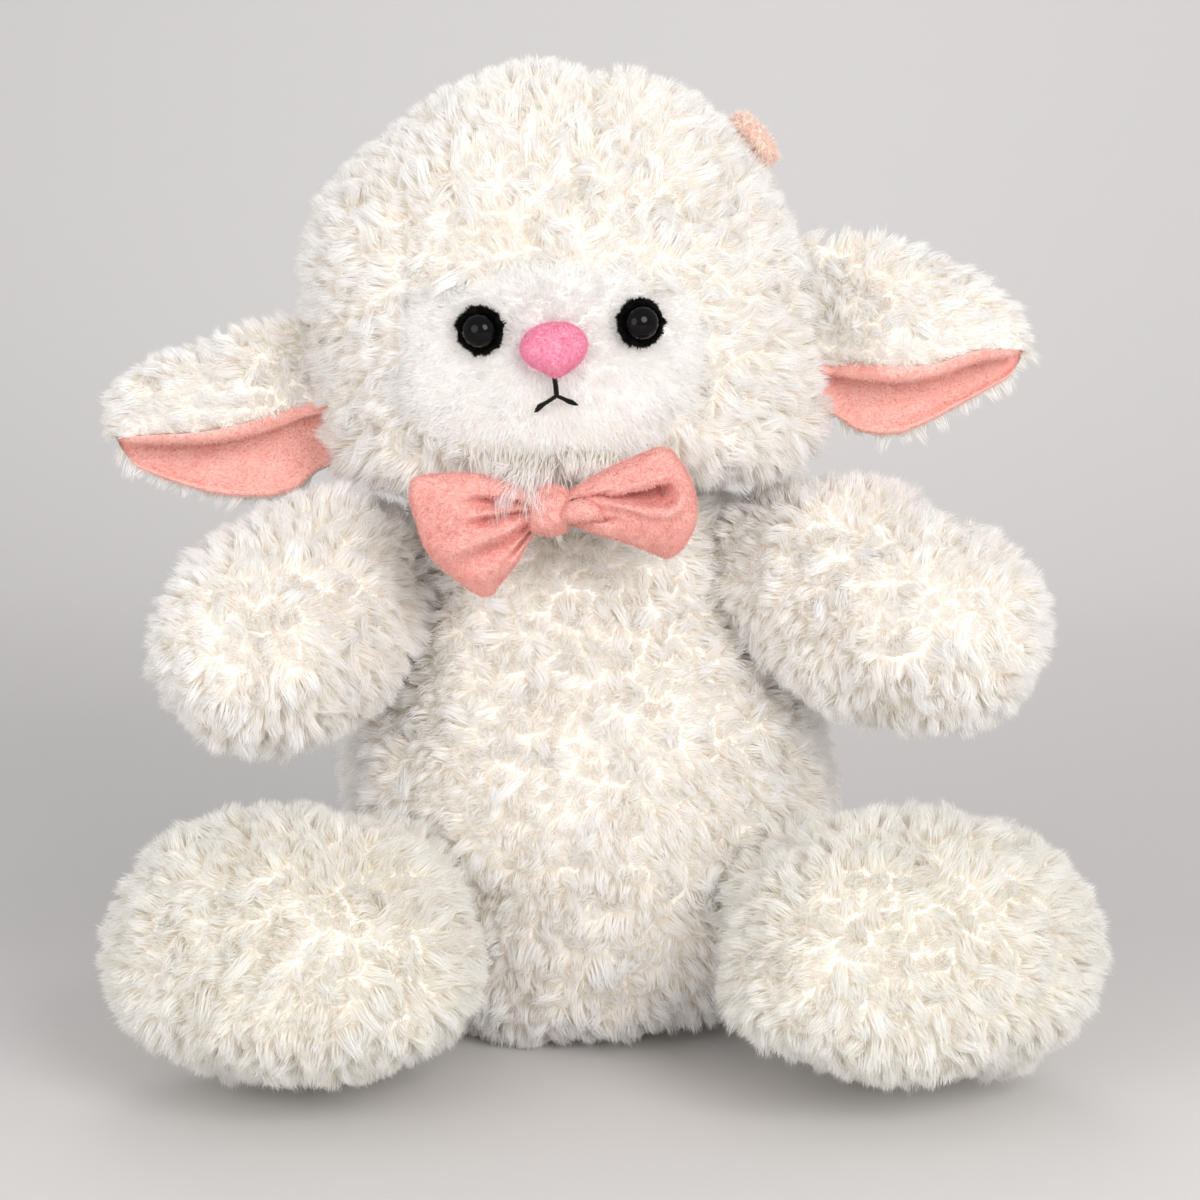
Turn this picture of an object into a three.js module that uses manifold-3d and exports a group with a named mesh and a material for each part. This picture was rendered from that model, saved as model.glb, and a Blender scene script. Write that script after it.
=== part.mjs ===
import * as THREE from 'three';
import { LoftGeometry } from 'three/addons/geometries/LoftGeometry.js';
import { mergeVertices } from 'three/addons/utils/BufferGeometryUtils.js';
import Module from 'manifold-3d';

// A plush lamb that sits on its seat and its two feet. Lengths are in millimetres, +Z is up,
// the lamb faces -Y, and its own left side is +X. The origin is on the floor, under its seat and
// about midway between its feet. The fleece pieces have the outline of the tips of their pile.

// Clearances, the second between round roots and the seats that they turn in
const seamGap = 0.35;
const jointGap = 0.4;
const overrun = 2;
const weldDistance = 0.0001;

// Fleece, with its pile and knitted backing
const fleeceThickness = 10;
const bodyHeight = 158;
const bodyHalfWidth = 69;
const bodyHalfDepth = 57;
const seatSink = 4;
const seatX = 3;
const leanAngle = THREE.MathUtils.degToRad(-5.5);

// Neck
const neckDrop = 8.7;
const neckHeight = bodyHeight - neckDrop;
const neckBallRadius = 30;
const neckWadRadius = 17;
const neckWadSettle = 1.15;
const neckOpeningRadius = 9;

// Head
const headHeight = 119;
const headHalfWidth = 72;
const headHalfDepth = 60;
const headLift = 5;
const headRoll = THREE.MathUtils.degToRad(-2.5);

// Arms
const armRootRadius = 22;
const armRadius = 28.5;
const armLength = 88;
const leftShoulderDrop = 31;
const rightShoulderDrop = 35;
const leftShoulderHeight = bodyHeight - leftShoulderDrop;
const rightShoulderHeight = bodyHeight - rightShoulderDrop;
const leftShoulderInset = 12;
const rightShoulderInset = 13;
const shoulderForward = 12;
const leftArmDroop = THREE.MathUtils.degToRad(6.5);
const rightArmDroop = THREE.MathUtils.degToRad(5.5);
const leftArmYaw = THREE.MathUtils.degToRad(38);
const rightArmYaw = THREE.MathUtils.degToRad(54);
const limbOpeningRadius = 9;

// Legs
const legRootRadius = 29;
const footHalfWidth = 51;
const footHalfHeight = 39.5;
const legLength = 84;
const leftHipInset = 9;
const rightHipInset = 12;
const hipForward = bodyHalfDepth - rightHipInset;
const hipDrop = 0.4;
const hipHeight = footHalfHeight - hipDrop;
const legYaw = THREE.MathUtils.degToRad(60);

// Tail
const tailRootRadius = 10;
const tailRadius = 12;
const tailLength = 26;
const tailHeight = 40;
const tailStandOff = 3;
const tailPitch = THREE.MathUtils.degToRad(12);

// Weight bag in the seat
const bagHalfWidth = 36;
const bagHalfDepth = 26;
const bagHalfHeight = 9;
const bagLift = 3;

// Ears
const earLength = 53;
const earHalfHeight = 27;
const earFleeceThickness = 6;
const earLiningThickness = 2;
const earSeamGap = 0.6;
const earRootRadius = 6.5;
const earRootHeight = 34;
const earStandOff = 2.5;
const leftEarHeight = 43.5;
const rightEarHeight = 32.5;
const leftEarTilt = THREE.MathUtils.degToRad(4.5);
const rightEarTilt = THREE.MathUtils.degToRad(-5.5);

// Eyes
const eyeHeight = 53.6;
const leftEyeX = 24;
const rightEyeX = -17.2;
const eyeRadius = 4.7;
const eyeDomeHeight = 3.8;
const eyeRingRadius = 6.1;
const eyeRingThickness = 1.2;
const shankRadius = 2.2;
const shankLength = 15.5;
const washerRadius = 6;
const washerThickness = 1.5;
const washerDepth = 12;

// Nose and mouth
const noseX = 1.5;
const noseHeight = 48;
const noseHalfWidth = 8.6;
const noseHalfHeight = 7;
const noseDome = 5;
const threadRadius = 0.6;
const mouthDrop = 4.6;
const mouthSpread = 5;
const mouthArmDrop = 3.2;
const mouthCurlShare = 0.6;

// Horns
const hornTubeRadius = 4.6;
const hornTipRadius = 2.3;
const hornCurlRadius = 7.6;
const hornTipCurlRadius = 4.2;
const hornSink = 0.3;
const hornHeight = 90;
const leftHornBack = 12;
const rightHornBack = 28;
const hornSweep = THREE.MathUtils.degToRad(290);

// Bow
const bowX = -13;
const bowStandOff = 5;
const bowForward = headHalfDepth + bowStandOff;
const bowDrop = 2;
const bowHeight = bodyHeight - bowDrop;
const bowTilt = THREE.MathUtils.degToRad(12);
const leftLoopLength = 38;
const rightLoopLength = 39;
const leftLoopHalfHeight = 16;
const rightLoopHalfHeight = 18;
const bowHalfThickness = 7;
const bowPinchRadius = 3.8;
const bowPleats = 3;
const pleatDepthShare = 0.55;
const leftLoopRise = THREE.MathUtils.degToRad(7);
const rightLoopRise = THREE.MathUtils.degToRad(-16);
const knotThickness = 2.4;
const knotHalfLength = 5.6;
const tackRadius = 0.9;
const tackDrop = 16;
const tackHeight = bodyHeight - tackDrop;

// Outlines as shares: place along the axis, then radius
const bodyOutlineShares = [
  [0, 0], [0.01, 0.42], [0.035, 0.68], [0.09, 0.86], [0.2, 0.96], [0.38, 1], [0.48, 0.985],
  [0.57, 0.93], [0.665, 0.835], [0.755, 0.755], [0.84, 0.69], [0.905, 0.6], [0.955, 0.44], [1, 0],
];
// The head's third share moves each ring's middle to the lamb's left
const headOutlineShares = [
  [0, 0, 0.07], [0.008, 0.4, 0.07], [0.03, 0.74, 0.075], [0.09, 0.925, 0.075], [0.183, 0.985, 0.06],
  [0.303, 1, 0.04], [0.424, 0.995, 0.02], [0.544, 0.975, 0.01], [0.664, 0.885, 0.03],
  [0.784, 0.715, 0.07], [0.903, 0.49, 0.14], [0.975, 0.25, 0.17], [1, 0, 0.18],
];
// Limbs: place from pivot to tip, then width and height, each as a share of its own full size
const armOutlineShares = [
  [0.1, 0.73, 0.73], [0.2, 0.82, 0.82], [0.32, 0.95, 0.95], [0.45, 1, 1], [0.62, 0.99, 0.99],
  [0.77, 0.9, 0.9], [0.89, 0.69, 0.69], [0.965, 0.4, 0.4], [1, 0, 0],
];
const legOutlineShares = [
  [0.08, 0.61, 0.73], [0.2, 0.76, 0.83], [0.36, 0.94, 0.95], [0.52, 1, 1], [0.66, 0.98, 0.98],
  [0.8, 0.86, 0.86], [0.91, 0.62, 0.62], [0.975, 0.34, 0.34], [1, 0, 0],
];
const tailOutlineShares = [
  [0.25, 1, 1], [0.5, 0.97, 0.97], [0.75, 0.78, 0.78], [0.93, 0.42, 0.42], [1, 0, 0],
];
// The ear's fold, front edge first: forward and up, as shares of its half height
const earFoldShares = [
  [0.5, -0.14], [0.56, 0.12], [0.5, 0.44], [0.3, 0.74], [0.02, 0.86], [-0.2, 0.7],
  [-0.27, 0.34], [-0.25, -0.08], [-0.15, -0.46], [0.0, -0.76], [0.14, -0.9],
];
// The ear along its length: place, height and depth, gathered at the root
const earTaperShares = [
  [0, 0.74, 0.3], [0.12, 0.92, 0.55], [0.3, 1, 0.92], [0.5, 0.92, 0.95], [0.68, 0.74, 0.78],
  [0.83, 0.52, 0.54], [0.94, 0.29, 0.3], [1, 0.1, 0.1],
];
// The nose pad's outline, point down
const noseOutlineShares = [
  [-1, 0.3], [-0.72, 0.84], [0, 1], [0.72, 0.84], [1, 0.3], [0.58, -0.52], [0, -1], [-0.58, -0.52],
];
const noseDomeShares = [[0, 0.96], [0.25, 1], [0.6, 0.86], [0.87, 0.58], [1, 0.24]];
// A bow loop from the pinch to its end: place, half height, half thickness
const bowLoopShares = [
  [0.18, 0.36, 0.66], [0.34, 0.66, 0.95], [0.56, 0.88, 1], [0.76, 1, 0.9], [0.92, 0.97, 0.6],
  [1, 0.86, 0.2],
];
// The knot's band: out from its inside, then along
const knotOutlineShares = [
  [0, -0.8], [0.45, -0.96], [0.85, -0.55], [1, 0], [0.85, 0.55], [0.45, 0.96], [0, 0.8], [0, -0.8],
];

// Facet counts
const roundSides = 28;
const limbSides = 20;
const seatSides = 20;
const innerSides = 12;
const smallSides = 12;
const threadSides = 6;
const hornSides = 8;
const bowSides = 20;
const formRows = 15;
const rootSteps = 5;
const earFoldSteps = 11;
const earRows = 8;
const domeSteps = 5;
const stitchSteps = 5;
const hornSteps = 16;

// The radius that a form closes at, how many walls a hollow's end draws in by, and the step for
// finding a surface's direction
const tipShare = 0.06;
const tipDraw = 5;
const slopeShare = 0.02;

const wasm = await Module();
wasm.setup();

// Colours of the real cloth and plastic
const fleeceColour = 0xf6f1e8;
const coralColour = 0xf39a8f;
const noseColour = 0xf98fb0;
const hornColour = 0xf8dccb;
const blackColour = 0x14120f;
const fillingColour = 0xf7f7f5;
const pelletColour = 0xe9e4d8;
const washerColour = 0xdedede;

function cloth(colour) {
  return new THREE.MeshStandardMaterial({ color: colour, roughness: 0.95, metalness: 0 });
}

function plastic(colour, roughness) {
  return new THREE.MeshStandardMaterial({ color: colour, roughness, metalness: 0 });
}

// Merges shared corners, leaves out flat triangles and turns the faces outwards
function closedBody(geometry) {
  const bare = new THREE.BufferGeometry();
  bare.setAttribute('position', geometry.attributes.position);
  bare.setIndex(geometry.index);
  const merged = mergeVertices(bare, weldDistance);
  const corners = [];
  for (let i = 0; i < merged.index.count; i += 3) {
    const [a, b, c] = [0, 1, 2].map((k) => merged.index.getX(i + k));
    if (a !== b && b !== c && c !== a) corners.push(a, b, c);
  }
  merged.setIndex(corners);
  return signedVolume(merged) < 0 ? turnedInsideOut(merged) : merged;
}

function signedVolume(geometry) {
  const [a, b, c] = [new THREE.Vector3(), new THREE.Vector3(), new THREE.Vector3()];
  let total = 0;
  for (let i = 0; i < geometry.index.count; i += 3) {
    a.fromBufferAttribute(geometry.attributes.position, geometry.index.getX(i));
    b.fromBufferAttribute(geometry.attributes.position, geometry.index.getX(i + 1));
    c.fromBufferAttribute(geometry.attributes.position, geometry.index.getX(i + 2));
    total += a.dot(b.cross(c));
  }
  return total / 6;
}

function turnedInsideOut(geometry) {
  const corners = Array.from(geometry.index.array);
  for (let i = 0; i < corners.length; i += 3) {
    [corners[i + 1], corners[i + 2]] = [corners[i + 2], corners[i + 1]];
  }
  geometry.setIndex(corners);
  return geometry;
}

function solidOf(geometry) {
  const body = closedBody(geometry);
  const vertProperties = Float32Array.from(body.attributes.position.array);
  const triVerts = Uint32Array.from(body.index.array);
  return new wasm.Manifold(new wasm.Mesh({ numProp: 3, vertProperties, triVerts }));
}

function geometryOf(solid) {
  const mesh = solid.getMesh();
  const geometry = new THREE.BufferGeometry();
  geometry.setAttribute('position', new THREE.BufferAttribute(mesh.vertProperties.slice(), 3));
  geometry.setIndex(Array.from(mesh.triVerts));
  geometry.computeVertexNormals();
  return geometry;
}

function cut(geometry, cutters) {
  let solid = solidOf(geometry);
  for (const cutter of cutters) solid = solid.subtract(solidOf(cutter));
  return geometryOf(solid);
}

function joined(geometries) {
  let solid = solidOf(geometries[0]);
  for (const other of geometries.slice(1)) solid = solid.add(solidOf(other));
  return geometryOf(solid);
}

function piece(name, geometry, material) {
  const mesh = new THREE.Mesh(geometry, material);
  mesh.name = name;
  return mesh;
}

function ball(radius, centre, sides) {
  const geometry = new THREE.SphereGeometry(radius, sides, sides / 2);
  geometry.rotateX(Math.PI / 2);
  geometry.translate(centre.x, centre.y, centre.z);
  return geometry;
}

// A hollow ball whose flats all clear a ball of the given radius
function ballSeat(radius, centre, sides) {
  const flatShare = Math.cos(Math.PI / sides) ** 2;
  return ball((radius + jointGap) / flatShare, centre, sides);
}

// An upright cylinder from one height to another
function upright(radius, low, high, x = 0, y = 0, sides = smallSides) {
  const geometry = new THREE.CylinderGeometry(radius, radius, high - low, sides);
  geometry.rotateX(Math.PI / 2);
  geometry.translate(x, y, (low + high) / 2);
  return geometry;
}

// A solid of revolution about +Z from [radius, height] corners
function turned(corners, sides) {
  const profile = corners.map(([radius, height]) => new THREE.Vector2(radius, height));
  const geometry = new THREE.LatheGeometry(profile, sides);
  geometry.rotateX(Math.PI / 2);
  return geometry;
}

// One oval ring, square to Z
function ring(halfWidth, halfDepth, height, middleX, sides) {
  const points = [];
  for (let i = 0; i < sides; i += 1) {
    const angle = (i / sides) * 2 * Math.PI;
    const x = middleX + halfWidth * Math.cos(angle);
    points.push(new THREE.Vector3(x, halfDepth * Math.sin(angle), height));
  }
  return points;
}

// A smooth run through rows of shares, with `count` stations
function smoothRows(rows, count) {
  const curve = new THREE.CatmullRomCurve3(
    rows.map(([place, first, second = 0]) => new THREE.Vector3(place, first, second)),
    false,
    'centripetal',
  );
  return curve.getPoints(count).map((p) => [p.x, Math.max(p.y, 0), p.z]);
}

// A closed skin through rings, each turned to run anticlockwise as seen from the last one
function loft(sections) {
  const [first, next] = sections;
  const facing = new THREE.Vector3();
  first.forEach((point, i) => {
    facing.add(new THREE.Vector3().crossVectors(point, first[(i + 1) % first.length]));
  });
  const turnedAway = facing.dot(next[0].clone().sub(first[0])) < 0;
  const rings = turnedAway ? sections.map((points) => [...points].reverse()) : sections;
  return new LoftGeometry(rings, { capStart: true, capEnd: true });
}

// Stuffed forms, each as the outline or drawn in by a wall for the hollow inside
const bodyRows = smoothRows(bodyOutlineShares, formRows);
const headRows = smoothRows(headOutlineShares, formRows);

function stuffedForm(rows, size, inset, sides) {
  const height = size.height - 2 * inset;
  const sections = rows.map(([place, share, drift]) => {
    const tipRadius = (size.halfWidth - tipDraw * inset) * tipShare;
    const wide = Math.max(size.halfWidth * share - inset, tipRadius);
    const deep = Math.max(size.halfDepth * share - inset, tipRadius);
    return ring(wide, deep, size.base + inset + height * place, size.halfWidth * drift, sides);
  });
  return loft(sections);
}

const bodySize = {
  height: bodyHeight + seatSink, halfWidth: bodyHalfWidth, halfDepth: bodyHalfDepth, base: -seatSink,
};
const headSize = {
  height: headHeight, halfWidth: headHalfWidth, halfDepth: headHalfDepth, base: headLift,
};

function leaned(geometry) {
  geometry.rotateY(leanAngle);
  geometry.translate(seatX, 0, 0);
  return geometry;
}

// The body's leaning axis at a height
function axisX(height) {
  return seatX + height * Math.tan(leanAngle);
}

const neckCentre = new THREE.Vector3(axisX(neckHeight), 0, neckHeight);

function floorBlock() {
  const side = 4 * bodyHeight;
  const block = new THREE.BoxGeometry(side, side, bodyHeight);
  block.translate(0, 0, -bodyHeight / 2);
  return block;
}

// Limb forms run from their pivot, the middle of the round root, along +Z
function limbSections(shape, inset) {
  const sections = [];
  const rootRadius = shape.rootRadius - inset;
  for (let i = 1; i <= rootSteps; i += 1) {
    const angle = (i / rootSteps) * (Math.PI / 2);
    const radius = rootRadius * Math.sin(angle);
    sections.push(ring(radius, radius, -rootRadius * Math.cos(angle), 0, shape.sides));
  }
  const length = shape.length - inset;
  for (const [place, wide, high] of shape.rows) {
    const halfWidth = Math.max(shape.halfWidth * wide - inset, shape.halfWidth * tipShare);
    const halfHeight = Math.max(shape.halfHeight * high - inset, shape.halfHeight * tipShare);
    sections.push(ring(halfWidth, halfHeight, length * place, 0, shape.sides));
  }
  return sections;
}

function limbForm(shape, inset) {
  return loft(limbSections(shape, inset));
}

function limbOpening(shape) {
  const far = shape.rootRadius + overrun;
  return upright(limbOpeningRadius, -far, -shape.rootRadius + fleeceThickness + overrun);
}

const armShape = {
  rootRadius: armRootRadius, halfWidth: armRadius, halfHeight: armRadius, length: armLength,
  rows: armOutlineShares, sides: limbSides,
};
const legShape = {
  rootRadius: legRootRadius, halfWidth: footHalfWidth, halfHeight: footHalfHeight, length: legLength,
  rows: legOutlineShares, sides: limbSides,
};

// A limb's group at its pivot. The yaw turns it forward from straight out to the side.
function limbGroup(side, centre, yaw, droop) {
  const along = new THREE.Vector3(
    side * Math.cos(yaw) * Math.cos(droop),
    -Math.sin(yaw) * Math.cos(droop),
    -Math.sin(droop),
  );
  const across = new THREE.Vector3(-along.y, along.x, 0).normalize();
  const up = new THREE.Vector3().crossVectors(along, across);
  const group = new THREE.Group();
  group.position.copy(centre);
  group.quaternion.setFromRotationMatrix(new THREE.Matrix4().makeBasis(across, up, along));
  group.updateMatrixWorld(true);
  return group;
}

function limb(name, shape, group) {
  const floor = floorBlock();
  floor.applyMatrix4(group.matrixWorld.clone().invert());
  const inside = { ...shape, sides: innerSides };
  const hollow = limbForm(inside, fleeceThickness);
  const filling = limbForm(inside, fleeceThickness + seamGap);
  const skin = cut(limbForm(shape, 0), [hollow, limbOpening(shape), floor]);
  group.add(piece(`${name}_skin`, skin, cloth(fleeceColour)));
  group.add(piece(`${name}_stuffing`, closedBody(filling), cloth(fillingColour)));
  return group;
}

// A limb's pivot, by how far it lies to the lamb's left of the body's own axis
function pivot(reach, forward, height) {
  return new THREE.Vector3(axisX(height) + reach, -forward, height);
}
const leftShoulder = pivot(bodyHalfWidth - leftShoulderInset, shoulderForward, leftShoulderHeight);
const rightShoulder = pivot(rightShoulderInset - bodyHalfWidth, shoulderForward, rightShoulderHeight);
const leftHip = pivot(bodyHalfWidth - leftHipInset, hipForward, hipHeight);
const rightHip = pivot(rightHipInset - bodyHalfWidth, hipForward, hipHeight);

// The share of the body's full width at a height
function bodyShareAt(height) {
  const place = THREE.MathUtils.clamp((height + seatSink) / bodySize.height, slopeShare, 1);
  const above = bodyRows.findIndex(([p]) => p >= place);
  const [low, high] = [bodyRows[above - 1], bodyRows[above]];
  return THREE.MathUtils.mapLinear(place, low[0], high[0], low[1], high[1]);
}

// The back of the body at the tail's height carries the tail's round root
const tailRoot = new THREE.Vector3(
  axisX(tailHeight), bodyHalfDepth * bodyShareAt(tailHeight) + tailStandOff, tailHeight,
);

function tail() {
  const shape = {
    rootRadius: tailRootRadius, halfWidth: tailRadius, halfHeight: tailRadius, length: tailLength,
    rows: tailOutlineShares, sides: innerSides,
  };
  const mesh = piece('tail', closedBody(limbForm(shape, 0)), cloth(fleeceColour));
  mesh.position.copy(tailRoot);
  mesh.rotation.x = -(Math.PI / 2 - tailPitch);
  return mesh;
}

// Round seats that the moving roots turn in
function jointSeats() {
  return [
    ballSeat(armRootRadius, leftShoulder, seatSides),
    ballSeat(armRootRadius, rightShoulder, seatSides),
    ballSeat(legRootRadius, leftHip, seatSides),
    ballSeat(legRootRadius, rightHip, seatSides),
    ballSeat(tailRootRadius, tailRoot, innerSides),
  ];
}

const bagCentre = new THREE.Vector3(
  axisX(fleeceThickness), 0, fleeceThickness - seatSink + bagHalfHeight + bagLift,
);

function bagForm(grow) {
  const geometry = new THREE.SphereGeometry(1, innerSides, innerSides / 2);
  geometry.rotateX(Math.PI / 2);
  geometry.scale(bagHalfWidth + grow, bagHalfDepth + grow, bagHalfHeight + grow);
  geometry.translate(bagCentre.x, bagCentre.y, bagCentre.z);
  return geometry;
}

// The stuffing is pressed hollow by the bag, down to the seat
function bagPocket() {
  const sections = [-bodyHeight, 0].map((height) => ring(
    bagHalfWidth + seamGap, bagHalfDepth + seamGap, bagCentre.z + height, bagCentre.x, innerSides,
  ));
  return loft(sections);
}

function torso() {
  const group = new THREE.Group();
  const outside = joined([
    leaned(stuffedForm(bodyRows, bodySize, 0, roundSides)),
    ball(neckBallRadius, neckCentre, seatSides),
  ]);
  const hollow = leaned(stuffedForm(bodyRows, bodySize, fleeceThickness, innerSides));
  const wadSeat = ballSeat(neckWadRadius, neckCentre, innerSides);
  const opening = upright(
    neckOpeningRadius, neckHeight, neckHeight + neckBallRadius + overrun, neckCentre.x,
  );
  const seats = jointSeats();
  const skin = cut(outside, [hollow, wadSeat, opening, floorBlock(), ...seats]);
  const filling = leaned(stuffedForm(bodyRows, bodySize, fleeceThickness + seamGap, innerSides));
  const stuffing = cut(filling, [wadSeat, bagForm(seamGap), bagPocket(), ...seats]);
  group.add(piece('body_skin', skin, cloth(fleeceColour)));
  group.add(piece('body_stuffing', stuffing, cloth(fillingColour)));
  group.add(piece('weight_bag', closedBody(bagForm(0)), cloth(pelletColour)));
  const wad = ball(neckWadRadius, neckCentre, innerSides);
  wad.translate(0, 0, -neckWadSettle);
  group.add(piece('neck_stuffing', closedBody(wad), cloth(fillingColour)));
  group.add(tail());
  return group;
}

// The head's rings at a height above the neck: radius share and drift share
function headRow(height) {
  const place = (height - headLift) / headHeight;
  const above = headRows.findIndex(([p]) => p >= place);
  const [low, high] = [headRows[above - 1], headRows[above]];
  return [1, 2].map((k) => THREE.MathUtils.mapLinear(place, low[0], high[0], low[k], high[k]));
}

// A point of the head's outside. The turn is zero in front and grows to the lamb's left.
function headPoint(turn, height) {
  const [share, drift] = headRow(height);
  const x = headHalfWidth * (drift + share * Math.sin(turn));
  return new THREE.Vector3(x, -headHalfDepth * share * Math.cos(turn), height);
}

// A group on the head whose +Z points out of the fleece and whose +Y points up
function headSeat(turn, height) {
  const rise = slopeShare * headHeight;
  const beyond = headPoint(turn + slopeShare, height);
  const sideways = beyond.sub(headPoint(turn - slopeShare, height)).normalize();
  const upwards = headPoint(turn, height + rise).sub(headPoint(turn, height - rise));
  const outwards = new THREE.Vector3().crossVectors(sideways, upwards).normalize();
  const up = new THREE.Vector3().crossVectors(outwards, sideways);
  const group = new THREE.Group();
  group.position.copy(headPoint(turn, height));
  group.quaternion.setFromRotationMatrix(new THREE.Matrix4().makeBasis(sideways, up, outwards));
  group.updateMatrix();
  return group;
}

// The same on the face, by how far it lies to the lamb's left
function faceSeat(x, height) {
  const [share, drift] = headRow(height);
  return headSeat(Math.asin((x / headHalfWidth - drift) / share), height);
}

// A domed eye on a shank that a lock washer holds behind the fleece
function eyeForm() {
  const base = seamGap + eyeRingThickness + seamGap;
  const corners = [
    [0, -shankLength], [shankRadius, -shankLength], [shankRadius, base], [eyeRadius, base],
  ];
  for (let i = 1; i <= domeSteps; i += 1) {
    const angle = (i / domeSteps) * (Math.PI / 2);
    const radius = i === domeSteps ? 0 : eyeRadius * Math.cos(angle);
    corners.push([radius, base + seamGap + (eyeDomeHeight - seamGap) * Math.sin(angle)]);
  }
  return turned(corners, smallSides);
}

function washerForm(radius, low, high) {
  const hole = shankRadius + seamGap;
  return turned([[hole, low], [radius, low], [radius, high], [hole, high], [hole, low]], smallSides);
}

function eye(name, x) {
  const group = faceSeat(x, eyeHeight);
  const ringForm = washerForm(eyeRingRadius, seamGap, seamGap + eyeRingThickness);
  const lockForm = washerForm(washerRadius, -washerDepth - washerThickness, -washerDepth);
  group.add(piece(`${name}_dome`, closedBody(eyeForm()), plastic(blackColour, 0.08)));
  group.add(piece(`${name}_ring`, closedBody(ringForm), cloth(blackColour)));
  group.add(piece(`${name}_lock_washer`, closedBody(lockForm), plastic(washerColour, 0.5)));
  return group;
}

function shankHole(x) {
  const hole = upright(shankRadius + seamGap, -shankLength - overrun, overrun);
  return hole.applyMatrix4(faceSeat(x, eyeHeight).matrix);
}

function washerPocket(x) {
  const pocket = upright(washerRadius + seamGap, -shankLength - overrun, overrun);
  return pocket.applyMatrix4(faceSeat(x, eyeHeight).matrix);
}

function nose() {
  const outline = new THREE.CatmullRomCurve3(
    noseOutlineShares.map(([x, y]) => new THREE.Vector3(noseHalfWidth * x, noseHalfHeight * y, 0)),
    true,
  ).getPoints(noseOutlineShares.length * 2).slice(1);
  const sections = noseDomeShares.map(([place, share]) => outline.map(
    (p) => new THREE.Vector3(p.x * share, p.y * share, 2 * seamGap + noseDome * place),
  ));
  const group = faceSeat(noseX, noseHeight);
  const pad = closedBody(loft(sections));
  group.add(piece('nose_pad', pad, cloth(noseColour)));
  return group;
}

// One thread laid on the fleece between places of the face
function stitch(places) {
  const stand = threadRadius + 2 * seamGap;
  const path = new THREE.CatmullRomCurve3(places.map(([x, height]) => {
    const seat = faceSeat(x, height);
    return new THREE.Vector3(0, 0, stand).applyMatrix4(seat.matrix);
  }));
  const section = new THREE.Shape();
  for (let i = 0; i < threadSides; i += 1) {
    const angle = (i / threadSides) * 2 * Math.PI;
    const [x, y] = [threadRadius * Math.cos(angle), threadRadius * Math.sin(angle)];
    if (i === 0) section.moveTo(x, y);
    else section.lineTo(x, y);
  }
  return new THREE.ExtrudeGeometry(section, {
    steps: stitchSteps, extrudePath: path, bevelEnabled: false,
  });
}

function mouth() {
  const top = noseHeight - noseHalfHeight - seamGap;
  const fork = top - mouthDrop;
  const down = stitch([[noseX, top], [noseX, top - mouthDrop / 2], [noseX, fork]]);
  const arms = [-1, 1].map((side) => stitch([
    [noseX, fork],
    [noseX + side * mouthSpread / 2, fork - mouthArmDrop * mouthCurlShare],
    [noseX + side * mouthSpread, fork - mouthArmDrop],
  ]));
  return piece('mouth_stitch', joined([down, ...arms]), cloth(blackColour));
}

// A small horn curled most of a turn, lying against the side of the head
function hornForm(side) {
  const sections = [];
  for (let i = 0; i <= hornSteps; i += 1) {
    const share = i / hornSteps;
    const angle = hornSweep * share;
    const curl = THREE.MathUtils.lerp(hornCurlRadius, hornTipCurlRadius, share);
    const thick = THREE.MathUtils.lerp(hornTubeRadius, hornTipRadius, share);
    const middle = new THREE.Vector3(curl * Math.cos(angle), side * curl * Math.sin(angle), 0);
    const outward = middle.clone().normalize();
    const points = [];
    for (let k = 0; k < hornSides; k += 1) {
      const turn = (k / hornSides) * 2 * Math.PI;
      const point = middle.clone().addScaledVector(outward, thick * Math.cos(turn));
      point.z += thick * Math.sin(turn);
      points.push(point);
    }
    sections.push(points);
  }
  return loft(sections);
}

function horn(name, side, back) {
  const [share] = headRow(hornHeight);
  const seat = headSeat(side * (Math.PI / 2 + Math.asin(back / (headHalfDepth * share))), hornHeight);
  const mesh = piece(name, closedBody(hornForm(side)), cloth(hornColour));
  mesh.position.z = hornTubeRadius - hornSink;
  seat.add(mesh);
  return seat;
}

// A folded cloth that starts a gap from the fold line and thins towards the ear's tip
function earLayer(gap, thickness, side) {
  const fold = new THREE.CatmullRomCurve3(
    earFoldShares.map(([forward, up]) => new THREE.Vector3(0, -forward, up)),
  );
  const line = fold.getPoints(earFoldSteps).map((point) => point.multiplyScalar(earHalfHeight));
  const tangents = line.map((_, i) => fold.getTangent(i / earFoldSteps));
  const sections = smoothRows(earTaperShares, earRows).map(([place, share, depthShare]) => {
    const nearest = gap / Math.min(share, depthShare);
    const edge = (depth) => line.map((at, i) => new THREE.Vector3(
      side * earLength * place,
      (at.y + tangents[i].z * depth) * depthShare,
      (at.z - tangents[i].y * depth) * share,
    ));
    return [...edge(nearest), ...edge(nearest + thickness).reverse()];
  });
  return loft(sections);
}

function earKnuckle(grow) {
  const half = earRootHeight / 2 + grow;
  return upright(earRootRadius + grow, -half, half);
}

function earPlace(side, height) {
  return headPoint(side * Math.PI / 2, height).add(new THREE.Vector3(side * earStandOff, 0, 0));
}

function ear(name, side, height, tilt) {
  const group = new THREE.Group();
  group.position.copy(earPlace(side, height));
  const leaf = new THREE.Group();
  leaf.rotation.y = -side * tilt;
  const outer = earLayer(0, -earFleeceThickness, side);
  const lining = earLayer(earSeamGap, earLiningThickness, side);
  const knuckle = earKnuckle(0);
  knuckle.rotateY(side * tilt);
  const grown = earKnuckle(seamGap);
  grown.rotateY(side * tilt);
  leaf.add(piece(`${name}_fleece`, joined([outer, knuckle]), cloth(fleeceColour)));
  leaf.add(piece(`${name}_lining`, cut(lining, [grown]), cloth(coralColour)));
  group.add(leaf);
  return group;
}

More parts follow.
